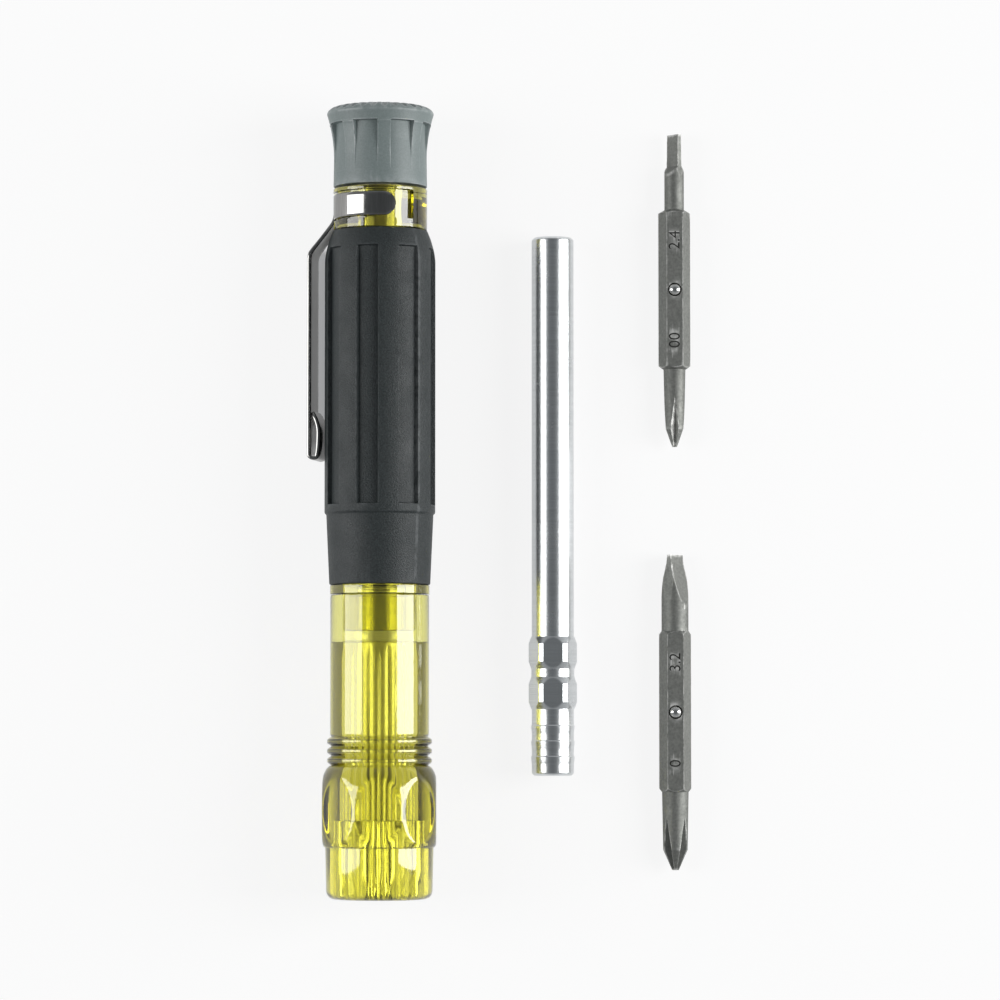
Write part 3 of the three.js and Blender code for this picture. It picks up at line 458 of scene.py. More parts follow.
def black_rubber():
    material, tree, surface, link = new_material("stippled_black_rubber")
    grain = use(material, GRAIN, Scale=5200.0)
    # The lands' edges are coloured brighter: partly wear, partly a painted highlight.
    worn_and_highlit = use(material, WORN_AND_HIGHLIT, Start=0.505, End=0.56)
    shade = two_tones(tree, grain, (0.008, 0.011, 0.0115), (0.030, 0.039, 0.040), end=0.72)
    link(rubbed_and_highlit(tree, shade, worn_and_highlit, (0.075, 0.083, 0.085)), surface["Base Color"])
    rough = use(material, HANDLED, Scale=220.0, Clean=0.55, Rubbed=0.42)
    link(rough, surface["Roughness"])
    link(bump(tree, grain, 0.9, 0.0001), surface["Normal"])
    surface["Specular IOR Level"].default_value = 0.42
    return material


def both_sides(count, first, half):
    """The two edges of each of a ring of evenly spaced features, in degrees."""
    middles = [first + 360.0 / count * i for i in range(count)]
    return [middle + side for middle in middles for side in (-half, half)]


panel_edges = both_sides(PANELS, PANEL_FIRST, PANEL_HALF)
grip_sleeve = turned(
    "rubber_grip_sleeve", grip_outline(), around(240, panel_edges, 0.5), NOSE, sunk_panels, 60
)
dress(grip_sleeve, black_rubber(), "handle", "grip_rubber", "grip_sleeve")

# Pocket clip
# One strip of spring steel, stamped, bent and nickel plated. Its band snaps into the neck's recess
# and its arm runs down the grip to a turned-in hook that holds a pocket's edge.
CLIP_THICKNESS = 0.5
BAND_RADIUS = 6.42
BAND_HALF_HEIGHT = 1.7
BAND_WRAP = 121.0  # degrees either side of the arm
ARM_ROOT_WIDTH, ARM_WIDTH = 3.8, 5.5
ARM_REACH = 9.8  # from the handle's axis
ARM_BEND = 0.9  # how far back a bend starts
ELBOW = 91.57
ARM_END = 63.07
HOOK_RADIUS = 0.65
CONTACT_REACH, CONTACT = 8.41, 66.07  # where the hook meets the grip
TIP_REACH, TIP = 9.36, 68.97


def strip(stations, edge=0.09, across_steps=8):
    """A sheet through stations: centre, across, out, half width, radius of its curl or none."""
    places = []
    half = CLIP_THICKNESS / 2
    size = 2 * (across_steps + 1) + 4
    for centre, across, out, half_width, curl in stations:
        soft = min(edge, half_width * 0.45)
        spread = np.linspace(-half_width + soft, half_width - soft, across_steps + 1)
        outline = [(-half_width, -half + soft), (-half_width, half - soft)]
        outline += [(u, half) for u in spread]
        outline += [(half_width, half - soft), (half_width, -half + soft)]
        outline += [(u, -half) for u in spread[::-1]]
        for u, v in outline:
            drop = 0 if curl is None else curl - math.sqrt(curl * curl - u * u)
            places.append(centre + across * u + out * (v - drop))
    faces = skin(len(stations), size)
    faces.append(tuple(range(size)))
    faces.append(tuple(reversed(range((len(stations) - 1) * size, len(stations) * size))))
    return places, faces


def clip_band():
    up = Vector((0, 1, 0))
    wrap = math.radians(BAND_WRAP)
    end = BAND_HALF_HEIGHT / BAND_RADIUS
    tip = []
    for t in np.linspace(0.06, math.pi / 2, 12):
        tip.append((-wrap + end * (1 - math.cos(t)), BAND_HALF_HEIGHT * math.sin(t)))
    middle = [(t, BAND_HALF_HEIGHT) for t in np.linspace(-wrap + end, wrap - end, 90)[1:-1]]
    stations = []
    for turn, half in tip + middle + [(-t, half) for t, half in reversed(tip)]:
        out = Vector((math.sin(turn), 0, math.cos(turn)))
        stations.append((out * BAND_RADIUS + up * BAND_CENTRE, up, out, half, None))
    return strip(stations)


def clip_arm():
    top = BAND_CENTRE - BAND_HALF_HEIGHT
    corner, elbow = Vector((BAND_RADIUS, top)), Vector((ARM_REACH, ELBOW))
    back = Vector((0, ARM_BEND))
    slope = (elbow - corner).normalized() * ARM_BEND
    path = [Vector((BAND_RADIUS, top + 1.2)), corner + back]
    path += bent(corner + back, corner, corner + slope, 9)
    path += [(corner + slope).lerp(elbow - slope, t) for t in (0.25, 0.5, 0.75)]
    path += bent(elbow - slope, elbow, elbow - back, 9)
    path += [Vector((ARM_REACH, station)) for station in np.linspace(90.4, ARM_END, 14)]
    hook = Vector((ARM_REACH - HOOK_RADIUS, ARM_END))
    for t in np.linspace(0, -0.75 * math.pi, 13)[1:]:
        path.append(hook + Vector((math.cos(t), math.sin(t))) * HOOK_RADIUS)
    contact, tip = Vector((CONTACT_REACH, CONTACT)), Vector((TIP_REACH, TIP))
    path += bent(path.pop(), Vector((CONTACT_REACH, ARM_END + HOOK_RADIUS)), contact, 9)
    path += bent(path.pop(), Vector((CONTACT_REACH, (CONTACT + TIP) / 2)), tip, 9)
    stations = []
    for i, point in enumerate(path):
        along = (path[min(i + 1, len(path) - 1)] - path[max(i - 1, 0)]).normalized()
        spread = min(max((top - point.y) / (top - ELBOW), 0), 1)
        width = ARM_ROOT_WIDTH + (ARM_WIDTH - ARM_ROOT_WIDTH) * spread
        if i > len(path) - 4:
            width -= (0.12, 0.4, 0.9)[i - len(path) + 3]
        curl = None if spread > 0.96 else BAND_RADIUS / (1 - spread)
        centre, out = Vector((0, point.y, point.x)), Vector((0, along.x, -along.y))
        stations.append((centre, Vector((1, 0, 0)), out, width / 2, curl))
    return strip(stations)


def drawn_lines():
    """Fine lines along or across a piece, as drawing, rolling or turning leaves them."""
    group, given, made, link = effect(
        "drawn_lines", [("Across", 5000.0), ("Along", 260.0), ("Detail", 3.0)], "Height"
    )
    place = group.nodes.new("ShaderNodeTexCoord")
    stretch = group.nodes.new("ShaderNodeCombineXYZ")
    draw = group.nodes.new("ShaderNodeMapping")
    lines = add(group, "ShaderNodeTexNoise", Scale=1.0)
    link(given["Across"], stretch.inputs["X"])
    link(given["Along"], stretch.inputs["Y"])
    link(given["Across"], stretch.inputs["Z"])
    link(place.outputs["Object"], draw.inputs["Vector"])
    link(stretch.outputs["Vector"], draw.inputs["Scale"])
    link(draw.outputs["Vector"], lines.inputs["Vector"])
    link(given["Detail"], lines.inputs["Detail"])
    link(lines.outputs["Fac"], made["Height"])
    return group


DRAWN = drawn_lines()


def plated_steel():
    material, tree, surface, link = new_material("nickel_plated_steel")
    scratches = use(material, DRAWN, Across=5000.0, Along=260.0, Detail=3.0)
    shade = two_tones(tree, scratches, (0.27, 0.267, 0.258), (0.35, 0.345, 0.335))
    link(shade, surface["Base Color"])
    rough = use(material, HANDLED, Scale=300.0, Clean=0.07, Rubbed=0.16)
    link(rough, surface["Roughness"])
    link(bump(tree, scratches, 0.06, 0.00002), surface["Normal"])
    surface["Metallic"].default_value = 1.0
    return material


def pocket_clip():
    bearing = math.radians(CLIP_BEARING)
    places, faces = clip_band()
    arm_places, arm_faces = clip_arm()
    faces += [tuple(corner + len(places) for corner in face) for face in arm_faces]
    out = Vector((math.sin(bearing), 0, math.cos(bearing)))
    side = Vector((math.cos(bearing), 0, -math.sin(bearing)))
    placed = [NOSE + side * p.x + Vector((0, p.y, 0)) + out * p.z for p in places + arm_places]
    return finish_mesh("plated_pocket_clip", placed, faces, 50)


dress(pocket_clip(), plated_steel(), "clip", "plated_steel", "pocket_clip")

# Cap spindle and washer
# Hidden in the neck: a split axle moulded in natural nylon that the cap snaps over, and the slip
# washer between cap and neck. The solids are right as they are and get a nylon finish.


def natural_nylon():
    material, tree, surface, link = new_material("natural_nylon")
    grain = use(material, GRAIN, Scale=900.0)
    shade = two_tones(tree, grain, (0.52, 0.49, 0.40), (0.68, 0.65, 0.56), 0.0, 1.0)
    link(shade, surface["Base Color"])
    rough = use(material, HANDLED, Scale=400.0, Clean=0.45, Rubbed=0.6)
    link(rough, surface["Roughness"])
    return material


NYLON = natural_nylon()
for name in ("cap_spindle", "cap_washer"):
    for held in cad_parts[name].material_slots:
        held.material = NYLON

# Swivel cap
# A grey moulded cap that a fingertip holds still while the handle turns under it. It flares to a
# notched rim over eight ribs, is dished on top, and snaps over the spindle's head.
CAP_BOTTOM, CAP_TOP = 101.1, 112.6
HEAD_POCKET_RADIUS, HEAD_POCKET_END = 3.0, 107.5
SNAP_HOLE, SNAP_HOLE_END = 2.05, 105.25
WASHER_SEAT_RADIUS, WASHER_SEAT = 4.75, 101.65
WAIST_OF_CAP = Vector((6.6, 105.1))
RIM_RADIUS, RIM_FOOT = 7.6, 111.5
RIM_WIDTH, RIM_HEIGHT = 2.1, 1.1
DISH_DEPTH = 0.6
CAP_RIBS = 8
RIB_FIRST = 6.0  # the first rib's bearing
RIB_HALF = 8.0  # degrees
RIM_NOTCHES = 30
NOTCH_RADIUS = 0.5
NOTCH_TILT = 20.0  # degrees
valley_bottom, valley_top, valley_floor = 103.1, 110.0, 6.4


def cap_outline():
    corners = [(0, HEAD_POCKET_END, 0), (HEAD_POCKET_RADIUS, HEAD_POCKET_END, 0.1)]
    corners += [(HEAD_POCKET_RADIUS, SNAP_HOLE_END, 0.1), (SNAP_HOLE, SNAP_HOLE_END, 0.1)]
    corners += [(SNAP_HOLE, WASHER_SEAT, 0.1), (WASHER_SEAT_RADIUS, WASHER_SEAT, 0.1)]
    corners += [(WASHER_SEAT_RADIUS, CAP_BOTTOM, 0.1), (NECK_RADIUS, CAP_BOTTOM, 0.15)]
    points = rounded(corners + [(6.64, 102.4, 0)])
    wall = (-0.15, -0.05, 0.05, 0.15)
    points += [(6.63, valley_bottom + step) for step in wall] + [(6.61, 104.2)]
    flare = bent(WAIST_OF_CAP, Vector((6.6, 108.3)), Vector((RIM_RADIUS, RIM_FOOT)), 33)
    lip = next(p.x for p in flare if p.y > valley_top)
    points += [p for p in flare if p.y < valley_top - 0.2]
    points += [(lip, valley_top + step) for step in wall]
    points += [p for p in flare if p.y > valley_top + 0.2]
    for t in np.linspace(0, math.pi / 2, 22)[1:]:
        radius = RIM_RADIUS - RIM_WIDTH + RIM_WIDTH * math.cos(t)
        points.append((radius, RIM_FOOT + RIM_HEIGHT * math.sin(t)))
    return points + [(5.2, CAP_TOP - 0.02), (4.6, CAP_TOP - 0.12), (0, CAP_TOP - DISH_DEPTH)]


def ribs_and_notches(radii, stations, turn):
    between_ribs = off_nearest(turn, RIB_FIRST, 360.0 / CAP_RIBS) > RIB_HALF
    valley = between_ribs & (stations > valley_bottom) & (stations < valley_top)
    floor = np.interp(stations, [valley_bottom, 107.5], [6.62, valley_floor])
    radii = np.where((radii > 6.2) & valley, np.minimum(radii, floor), radii)
    pitch = 2 * math.pi / RIM_NOTCHES
    aside = np.abs((turn + math.pi * 2) % pitch - pitch / 2) * radii
    cut = np.sqrt(np.maximum(NOTCH_RADIUS**2 - aside**2, 0))
    tilt = math.radians(NOTCH_TILT)
    roof = CAP_TOP + 0.1 - (radii - 6.55) * math.tan(tilt) - cut / math.cos(tilt)
    rim = (stations > RIM_FOOT) & (radii > 5.6) & (aside < NOTCH_RADIUS)
    return radii, np.where(rim, np.minimum(stations, roof), stations)


def grey_plastic():
    material, tree, surface, link = new_material("satin_grey_plastic")
    grain = use(material, GRAIN, Scale=4200.0)
    # A painted highlight: the rib and rim edges are coloured a brighter grey where light would
    # catch them.
    worn_and_highlit = use(material, WORN_AND_HIGHLIT, Start=0.502, End=0.53)
    shade = two_tones(tree, grain, (0.150, 0.183, 0.180), (0.190, 0.226, 0.222))
    link(rubbed_and_highlit(tree, shade, worn_and_highlit, (0.34, 0.37, 0.37)), surface["Base Color"])
    rough = use(material, HANDLED, Scale=260.0, Clean=0.5, Rubbed=0.38)
    link(rough, surface["Roughness"])
    link(bump(tree, grain, 0.3, 0.00004), surface["Normal"])
    return material


rib_edges = both_sides(CAP_RIBS, RIB_FIRST, RIB_HALF)
swivel_cap = turned(
    "grey_swivel_cap", cap_outline(), around(432, rib_edges, 0.5), NOSE, ribs_and_notches, 60
)
dress(swivel_cap, grey_plastic(), "cap", "grey_plastic", "swivel_cap")

# Shaft
# A bar of aluminium turned on a lathe, with two hexagonal drive collars, a ridged tail and a
# broached hexagon socket in each end. It reverses in the handle and stores a bit inside it.
SHAFT_TAIL = Vector((7.545, -38.9, 3.175))  # centre of the tail's end face
SHAFT_LENGTH = 77.0
SHAFT_RADIUS = 3.0
END_RADIUS, END_CHAMFER = 2.65, 0.35
SOCKET_HALF, SOCKET_RUN, SOCKET_CHAMFER = 2.135, 27.0, 0.12
RIDGE_RADIUS = 3.12
COLLAR_LENGTH = 4.55
COLLAR_FOOT, COLLAR_CROWN = 3.1, 3.45
BETWEEN_COLLARS = 3.07
DRIVE_HALF = 3.175


def shaft_outline():
    lip = SOCKET_HALF + SOCKET_CHAMFER
    corners = [(0, SOCKET_RUN, 0), (SOCKET_HALF, SOCKET_RUN, 0), (SOCKET_HALF, 14.0, 0)]
    corners += [(SOCKET_HALF, SOCKET_CHAMFER, 0), (lip, 0, 0)]
    corners += [(END_RADIUS, 0, 0.06), (SHAFT_RADIUS, END_CHAMFER, 0.1)]
    for crest in (2.7, 4.9, 7.1):
        corners += [(SHAFT_RADIUS, crest - 1.1, 0.2), (RIDGE_RADIUS, crest, 0.04)]
        corners += [(SHAFT_RADIUS, crest + 0.14, 0.04)]
    cone = np.array((3.16, 3.18, 3.2, 3.23, 3.27, 3.32, 3.38))
    rise = (cone - COLLAR_FOOT) / (COLLAR_CROWN - COLLAR_FOOT)
    tail_collar = (9.5, SHAFT_RADIUS, BETWEEN_COLLARS)
    for bottom, lower, upper in (tail_collar, (15.25, BETWEEN_COLLARS, SHAFT_RADIUS)):
        top = bottom + COLLAR_LENGTH
        corners += [(lower, bottom, 0.02), (COLLAR_FOOT, bottom, 0.02)]
        corners += [(radius, bottom + step, 0) for radius, step in zip(cone, rise)]
        corners += [(COLLAR_CROWN, bottom + step, 0) for step in (1.0, 1.6, 2.3, 3.0, 3.55)]
        corners += [(radius, top - step, 0) for radius, step in zip(cone[::-1], rise[::-1])]
        corners += [(COLLAR_FOOT, top, 0.02), (upper, top, 0.02)]
    corners += [(SHAFT_RADIUS, station, 0) for station in np.linspace(21, 76, 12)]
    corners += [(SHAFT_RADIUS, SHAFT_LENGTH - END_CHAMFER, 0.1), (END_RADIUS, SHAFT_LENGTH, 0.06)]
    corners += [(lip, SHAFT_LENGTH, 0)]
    for depth in (SOCKET_CHAMFER, 14.0, SOCKET_RUN):
        corners += [(SOCKET_HALF, SHAFT_LENGTH - depth, 0)]
    return rounded(corners + [(0, SHAFT_LENGTH - SOCKET_RUN, 0)], 4)


def drive_hexagons(radii, stations, turn):
    outer = softly_less(radii, polygon(turn, 6, DRIVE_HALF), 0.008)
    broached = np.maximum(radii, polygon(turn, 6, SOCKET_HALF))
    bore = (radii > 0.01) & (radii < 2.3)
    return np.where(bore, broached, np.where(radii > 2.6, outer, radii)), stations


def turned_aluminium():
    material, tree, surface, link = new_material("turned_aluminium")
    lines = use(material, DRAWN, Across=40.0, Along=4500.0, Detail=2.0)
    worn_and_highlit = use(material, WORN_AND_HIGHLIT, Start=0.52, End=0.6)
    shade = two_tones(tree, lines, (0.70, 0.72, 0.73), (0.80, 0.82, 0.83))
    link(rubbed_and_highlit(tree, shade, worn_and_highlit, (0.90, 0.91, 0.91)), surface["Base Color"])
    rough = use(material, HANDLED, Scale=240.0, Clean=0.255, Rubbed=0.275)
    link(rough, surface["Roughness"])
    link(bump(tree, lines, 0.05, 0.00001), surface["Normal"])
    surface["Metallic"].default_value = 1.0
    return material


shaft = turned("aluminium_shaft", shaft_outline(), around(240), SHAFT_TAIL, drive_hexagons, 14)
dress(shaft, turned_aluminium(), "shaft", "turned_aluminium", "shaft")

# Double-ended bits
# Two bars of hardened tool steel with a satin finish, ground hexagonal in the middle, with a fluted
# cross point at one end and a flat blade at the other. Each is drilled for a ball and stamped.
BIT_AXIS_X, BIT_AXIS_Z = 25.045, 1.985
SMALL_BIT_START, LARGE_BIT_START = 8.15, -52.35
BIT_FLAT = 1.985
BIT_CORNER = 2.292
BIT_LENGTH = 45.0
HEX_START, HEX_END = 11.1, 34.1
HEX_CHAMFER = 0.5
HOLE_RADIUS, HOLE_FLOOR = 1.01, -1.035  # the floor's height over the bit's axis
STAKE_RADIUS, STAKE_FOOT = 0.98, 1.845
STAMP_SIZE, STAMP_DEPTH = 2.25, 0.12


def tool_steel():
    material, tree, surface, link = new_material("satin_tool_steel")
    grain = use(material, GRAIN, Scale=2600.0)
    # The edges are coloured brighter: partly wear, partly a painted highlight.
    worn_and_highlit = use(material, WORN_AND_HIGHLIT, Start=0.505, End=0.54)
    shade = two_tones(tree, grain, (0.185, 0.19, 0.178), (0.262, 0.266, 0.25))
    link(rubbed_and_highlit(tree, shade, worn_and_highlit, (0.62, 0.62, 0.60)), surface["Base Color"])
    rough = use(material, HANDLED, Scale=350.0, Clean=0.58, Rubbed=0.68)
    link(rough, surface["Roughness"])
    link(bump(tree, grain, 0.25, 0.00002), surface["Normal"])
    surface["Metallic"].default_value = 1.0
    return material


def bare_metal(name, grain_scale, dark, pale, rub_scale, clean, rubbed_to):
    """Plain metal with a fine grain in its colour and handling marks in its gloss."""
    material, tree, surface, link = new_material(name)
    grain = use(material, GRAIN, Scale=grain_scale)
    link(two_tones(tree, grain, dark, pale, 0.0, 1.0), surface["Base Color"])
    rough = use(material, HANDLED, Scale=rub_scale, Clean=clean, Rubbed=rubbed_to)
    link(rough, surface["Roughness"])
    surface["Metallic"].default_value = 1.0
    return material


STEEL = tool_steel()
STAMPED = bare_metal(
    "stamped_mark_steel", 3000.0, (0.05, 0.05, 0.047), (0.11, 0.11, 0.104), 600.0, 0.6, 0.7
)


def cut_away(piece, cutter):
    """Takes the cutter out of the piece and drops the cutter."""
    cutting = piece.modifiers.new("cut", "BOOLEAN")
    cutting.operation = "DIFFERENCE"
    cutting.solver = "EXACT"
    cutting.material_mode = "TRANSFER"
    cutting.object = cutter
    shown = piece.evaluated_get(bpy.context.evaluated_depsgraph_get())
    cut_mesh = bpy.data.meshes.new_from_object(shown)
    piece.modifiers.remove(cutting)
    piece.data = cut_mesh
    bpy.data.objects.remove(cutter)


def upright(name, rings, centre, columns=48):
    """A turned body with its axis upright, from radius and height pairs that start and end at 0."""
    places = []
    for radius, height in rings:
        for j in range(columns):
            turn = 2 * math.pi * j / columns
            aside = Vector((radius * math.cos(turn), radius * math.sin(turn), height))
            places.append(Vector(centre) + aside)
    return finish_mesh(name, places, skin(len(rings), columns), 40)


def stamp(piece, words, centre_y):
    """Sinks plain size numbers into the top flat, reading along the bit."""
    lettering = bpy.data.curves.new("size_stamp", "FONT")
    lettering.body = words
    lettering.size = STAMP_SIZE * MM
    lettering.align_x, lettering.align_y = "CENTER", "CENTER"
    lettering.extrude = STAMP_DEPTH * MM
    writing = bpy.data.objects.new("size_stamp", lettering)
    writing.location = Vector((BIT_AXIS_X, centre_y, 2 * BIT_FLAT)) * MM
    writing.rotation_euler = (0, 0, math.pi / 2)
    bpy.context.scene.collection.objects.link(writing)
    shown = writing.evaluated_get(bpy.context.evaluated_depsgraph_get())
    mesh = bpy.data.meshes.new_from_object(shown)
    mesh.transform(shown.matrix_world)
    mesh.materials.clear()
    mesh.materials.append(STAMPED)
    cutter = bpy.data.objects.new("size_cutter", mesh)
    bpy.context.scene.collection.objects.link(cutter)
    bpy.data.objects.remove(writing)
    cut_away(piece, cutter)


def bit(name, start_y, size):
    hex_foot, hex_top = HEX_START + HEX_CHAMFER, HEX_END - HEX_CHAMFER
    shank = size["shank"] / 2
    outline_u = [0, size["point"], HEX_START, hex_foot, hex_top, HEX_END, BIT_LENGTH]
    outline_r = [size["tip"] / 2, size["front"] / 2, size["rear"] / 2]
    outline_r += [BIT_CORNER, BIT_CORNER, shank, shank]
    blade_root = BIT_LENGTH - size["blade"]
    runout = blade_root - size["runout"]
    thin = size["thickness"] / 2

    def ground(radii, stations, turn):
        limits = polygon(turn, 6, BIT_FLAT)
        facing = turn - math.radians(size["blade_turn"])
        half = np.interp(stations, [runout, blade_root, BIT_LENGTH], [shank, thin + 0.1, thin])
        side = np.interp(stations, [runout, blade_root], [shank, size["width"] / 2])
        flat_limit = half / np.maximum(np.abs(np.cos(facing)), 1e-6)
        side_limit = side / np.maximum(np.abs(np.sin(facing)), 1e-6)
        blade = np.minimum(limits, np.minimum(flat_limit, side_limit))
        limits = np.where(stations > runout, blade, limits)
        flute_floor = size["web"] + (size["front"] / 2 - size["web"]) * stations / size["flute"]
        quarter = math.pi / 2
        aside = (turn - math.radians(size["flute_turn"]) + quarter / 2) % quarter - quarter / 2
        opening = np.maximum(np.cos(aside) - np.abs(np.sin(aside)), 1e-6)
        limits = np.minimum(limits, flute_floor / opening)
        cut = np.minimum(radii, softly_less(radii, limits, 0.006))
        return np.where(radii > 0, cut, 0), stations

    along = []
    for i, count in enumerate((13, 25, 8, 25, 8, 43)):
        along += list(np.linspace(outline_u[i], outline_u[i + 1], count, endpoint=False))
    along.append(BIT_LENGTH)
    profile = [(0, 0)]
    profile += [(float(np.interp(u, outline_u, outline_r)), float(u)) for u in along]
    profile += [(0, BIT_LENGTH)]
    base = Vector((BIT_AXIS_X, start_y, BIT_AXIS_Z))
    piece = turned(name, profile, around(240), base, ground, 30)
    piece.data.materials.append(STEEL)
    middle = (BIT_AXIS_X, start_y + BIT_LENGTH / 2, BIT_AXIS_Z)
    hole = [(0, HOLE_FLOOR), (HOLE_RADIUS, HOLE_FLOOR), (HOLE_RADIUS, STAKE_FOOT)]
    hole += [(STAKE_RADIUS, STAKE_FOOT), (STAKE_RADIUS, 3.0), (0, 3.0)]
    cut_away(piece, upright("ball_hole", hole, middle))
    for words, u in size["stamps"]:
        stamp(piece, words, start_y + u)
    piece.data.set_sharp_from_angle(angle=math.radians(30))
    return piece


small_bit = bit("steel_small_bit", SMALL_BIT_START, {
    "tip": 0.75, "point": 2.6, "front": 2.75, "rear": 3.15, "shank": 2.8,
    "web": 0.2, "flute": 6.4, "flute_turn": 0,
    "width": 2.38, "thickness": 0.55, "blade": 4.6, "runout": 1.2, "blade_turn": -50,
    "stamps": [("00", 15.2), ("2.4", 29.6)],
})
dress(small_bit, STEEL, "small_bit", "tool_steel", "small_bit")
large_bit = bit("steel_large_bit", LARGE_BIT_START, {
    "tip": 0.95, "point": 2.9, "front": 3.5, "rear": 3.8, "shank": 3.85,
    "web": 0.26, "flute": 7.2, "flute_turn": 45,
    "width": 3.18, "thickness": 0.6, "blade": 1.2, "runout": 6.2, "blade_turn": 54,
    "stamps": [("0", 15.2), ("3.2", 29.6)],
})
dress(large_bit, STEEL, "large_bit", "tool_steel", "large_bit")

# Catch balls
# A polished ball of bearing steel stands out of each bit's top flat. The flat's edge is staked over
# it, and a spring underneath presses it into the shaft's socket.
BALL_RADIUS = 0.95
BALL_HEIGHT = 1.485  # ball's centre over the bit's axis
bit_starts = (("small", SMALL_BIT_START), ("large", LARGE_BIT_START))
bit_middles = [(name, start + BIT_LENGTH / 2) for name, start in bit_starts]

BALL_STEEL = bare_metal(
    "polished_ball_steel", 3000.0, (0.60, 0.60, 0.58), (0.76, 0.76, 0.75), 900.0, 0.08, 0.2
)
for name, centre_y in bit_middles:
    rings = []
    for t in np.linspace(-math.pi / 2, math.pi / 2, 33):
        rings.append((BALL_RADIUS * math.cos(t), BALL_RADIUS * math.sin(t)))
    centre = (BIT_AXIS_X, centre_y, BIT_AXIS_Z + BALL_HEIGHT)
    ball = upright(name + "_catch_ball", rings, centre, 64)
    dress(ball, BALL_STEEL, name + "_ball", "polished_steel", name + "_bit_ball")

# Catch springs
# A coil of fine spring wire under each ball, wound on a mandrel and closed in the bit's cross hole.
COIL_TURNS = 3.5
COIL_RADIUS = 0.7
COIL_RISE = 1.19
WIRE_RADIUS = 0.11
COIL_FOOT = BIT_AXIS_Z - 0.955  # the coil's underside


def coil(name, centre_y, steps=105, sides=10):
    places = []
    climb = COIL_RISE / (2 * math.pi * COIL_TURNS * COIL_RADIUS)
    for i in range(steps + 1):
        turn = 2 * math.pi * COIL_TURNS * i / steps
        out = Vector((math.cos(turn), math.sin(turn), 0))
        along = Vector((-math.sin(turn), math.cos(turn), climb)).normalized()
        height = COIL_FOOT + WIRE_RADIUS + COIL_RISE * i / steps
        centre = Vector((BIT_AXIS_X, centre_y, height)) + out * COIL_RADIUS
        for k in range(sides):
            around_wire = 2 * math.pi * k / sides
            aside = out * math.cos(around_wire) + along.cross(out) * math.sin(around_wire)
            places.append(centre + aside * WIRE_RADIUS)
    faces = skin(steps + 1, sides)
    faces.append(tuple(range(sides)))
    faces.append(tuple(range(steps * sides, (steps + 1) * sides)))
    return finish_mesh(name, places, faces, 50)


WIRE = bare_metal(
    "drawn_spring_wire", 6000.0, (0.42, 0.42, 0.41), (0.58, 0.58, 0.56), 900.0, 0.25, 0.35
)
for name, centre_y in bit_middles:
    spring = coil(name + "_catch_spring", centre_y)
    dress(spring, WIRE, name + "_bit", "spring_steel", name + "_bit_spring")
    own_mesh(spring)

# Table, studio light and camera
# A white table top, a tall soft box on each side, a dim ceiling, and a camera almost straight
# overhead. The table glows white but for under the handle and its clip, which keep their shadow.
TABLE_WHITE = (0.92, 0.92, 0.92, 1)
CAMERA_GLOW, MIRRORED_GLOW, REFRACTED_GLOW = 0.86, 0.5, 0.5
bpy.ops.mesh.primitive_plane_add(size=6.0, location=(0, 0, -0.00002))
table = bpy.context.object
table.name = "table"
white, tree, sheet, link = new_material("white_table")
sheet["Base Color"].default_value = TABLE_WHITE
sheet["Roughness"].default_value = 0.8
ray = tree.nodes.new("ShaderNodeLightPath")
where = tree.nodes.new("ShaderNodeNewGeometry")


def open_past(middle, half, soft, top=1.0):
    """A mask of the table outside a soft-edged rectangle, in millimetres from the nose."""
    shifted = working(tree, "SUBTRACT", "ShaderNodeVectorMath")
    shifted.inputs[1].default_value = (NOSE + Vector((*middle, 0))) * MM
    either_way = working(tree, "ABSOLUTE", "ShaderNodeVectorMath")
    past_edge = working(tree, "SUBTRACT", "ShaderNodeVectorMath")
    past_edge.inputs[1].default_value = Vector((*half, 0)) * MM
    axes = tree.nodes.new("ShaderNodeSeparateXYZ")
    farther = working(tree, "MAXIMUM")
    mask = add(tree, "ShaderNodeMapRange", From_Min=0.0, From_Max=soft * MM, To_Max=top)
    link(where.outputs["Position"], shifted.inputs[0])
    link(shifted.outputs["Vector"], either_way.inputs[0])
    link(either_way.outputs["Vector"], past_edge.inputs[0])
    link(past_edge.outputs["Vector"], axes.inputs["Vector"])
    link(axes.outputs["X"], farther.inputs[0])
    link(axes.outputs["Y"], farther.inputs[1])
    link(farther.outputs["Value"], mask.inputs["Value"])
    return mask.outputs["Result"]


mirrored = working(tree, "MULTIPLY")
refracted = working(tree, "MULTIPLY_ADD")
refracted.inputs[1].default_value = REFRACTED_GLOW
seen = working(tree, "MULTIPLY_ADD")
seen.inputs[1].default_value = CAMERA_GLOW
unshaded = working(tree, "MULTIPLY")
share = working(tree, "MULTIPLY")
glow = add(tree, "ShaderNodeEmission", Color=(1, 1, 1, 1), Strength=1.0)
blend = tree.nodes.new("ShaderNodeMixShader")
under_grip = open_past((0, 70.5), (6.0, 24.0), 1.8, MIRRORED_GLOW)
beside_clip = open_past((-5.0, 79.0), (4.0, 13.5), 1.2)
under_handle = open_past((0, 56.3), (1.3, 52.0), 1.5)
link(ray.outputs["Is Glossy Ray"], mirrored.inputs[0])
link(under_grip, mirrored.inputs[1])
link(ray.outputs["Is Transmission Ray"], refracted.inputs[0])
link(mirrored.outputs["Value"], refracted.inputs[2])
link(ray.outputs["Is Camera Ray"], seen.inputs[0])
link(refracted.outputs["Value"], seen.inputs[2])
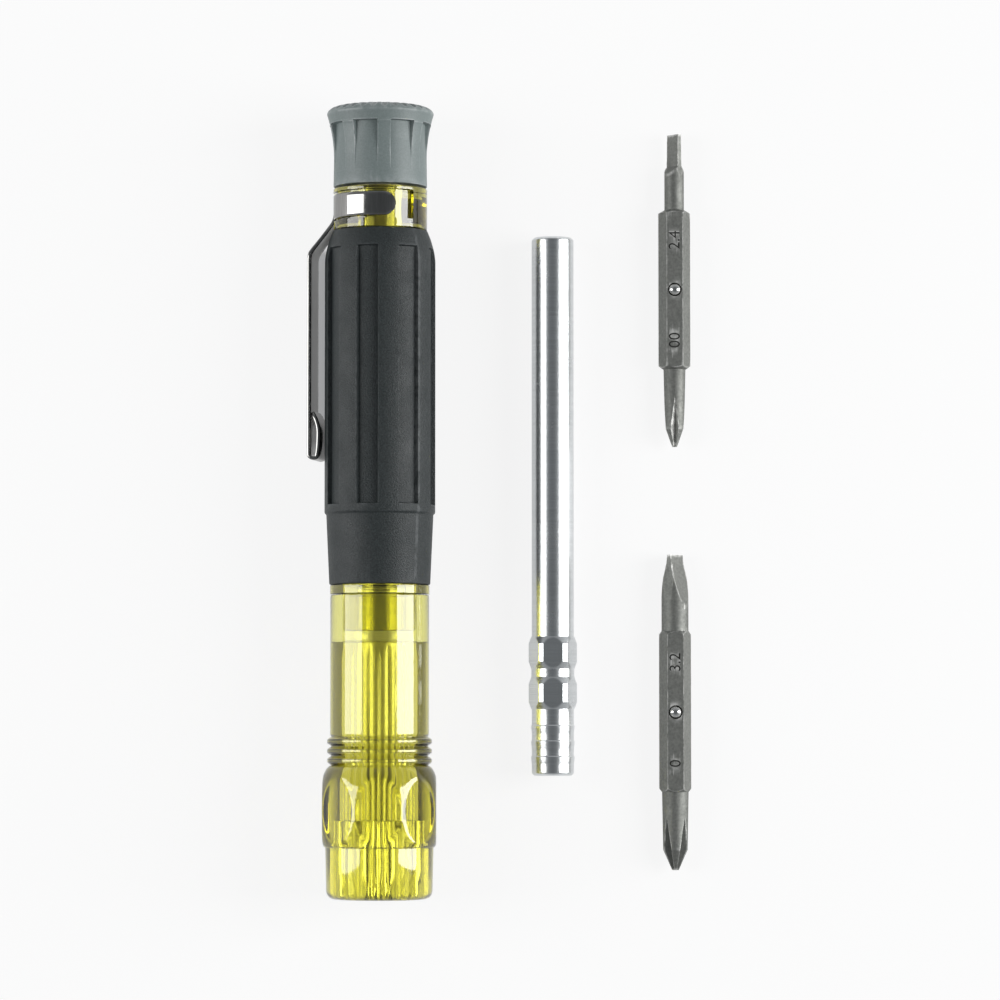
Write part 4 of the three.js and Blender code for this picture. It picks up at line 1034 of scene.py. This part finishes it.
link(beside_clip, unshaded.inputs[0])
link(under_handle, unshaded.inputs[1])
link(unshaded.outputs["Value"], share.inputs[0])
link(seen.outputs["Value"], share.inputs[1])
link(share.outputs["Value"], blend.inputs["Fac"])
link(tree.nodes["Principled BSDF"].outputs["BSDF"], blend.inputs[1])
link(glow.outputs["Emission"], blend.inputs[2])
link(blend.outputs["Shader"], tree.nodes["Material Output"].inputs["Surface"])
table.data.materials.append(white)

scene = bpy.context.scene
scene.view_settings.view_transform = "Standard"
room = bpy.data.worlds.new("studio")
room.use_nodes = True
gaze = room.node_tree.nodes.new("ShaderNodeTexCoord")
height = room.node_tree.nodes.new("ShaderNodeSeparateXYZ")
room.node_tree.links.new(gaze.outputs["Generated"], height.inputs["Vector"])
ceiling = two_tones(
    room.node_tree, height.outputs["Z"], (0.45, 0.46, 0.47), (0.12, 0.128, 0.135), 0.0, 1.0
)
between = ceiling.node.color_ramp.elements
between.new(0.62).color = (0.30, 0.31, 0.32, 1)
between.new(0.86).color = (0.14, 0.15, 0.157, 1)
room.node_tree.links.new(ceiling, room.node_tree.nodes["Background"].inputs["Color"])
scene.world = room
for side, power in ((-1, 2.1), (1, 3.6)):
    lamp = bpy.data.lights.new("soft_box", "AREA")
    lamp.shape = "RECTANGLE"
    lamp.size, lamp.size_y = 0.52, 0.28
    lamp.energy = power
    box = bpy.data.objects.new("soft_box", lamp)
    box.location = (0.55 * side, 0.03, 0.27)
    box.rotation_euler = (0, math.radians(63 * side), 0)
    scene.collection.objects.link(box)

SENSOR = 36.0
lens = bpy.data.cameras.new("camera")
lens.sensor_width = SENSOR
lens.lens = SENSOR * 4.5
lens.clip_start, lens.clip_end = 0.01, 20.0
camera = bpy.data.objects.new("camera", lens)
tilt = math.radians(3.0)
aim = Vector((0.0, 0.00043, 0.004))
distance = 0.643
camera.location = aim + Vector((0, -math.sin(tilt), math.cos(tilt))) * distance
camera.rotation_euler = (tilt, 0, 0)
scene.collection.objects.link(camera)
scene.camera = camera
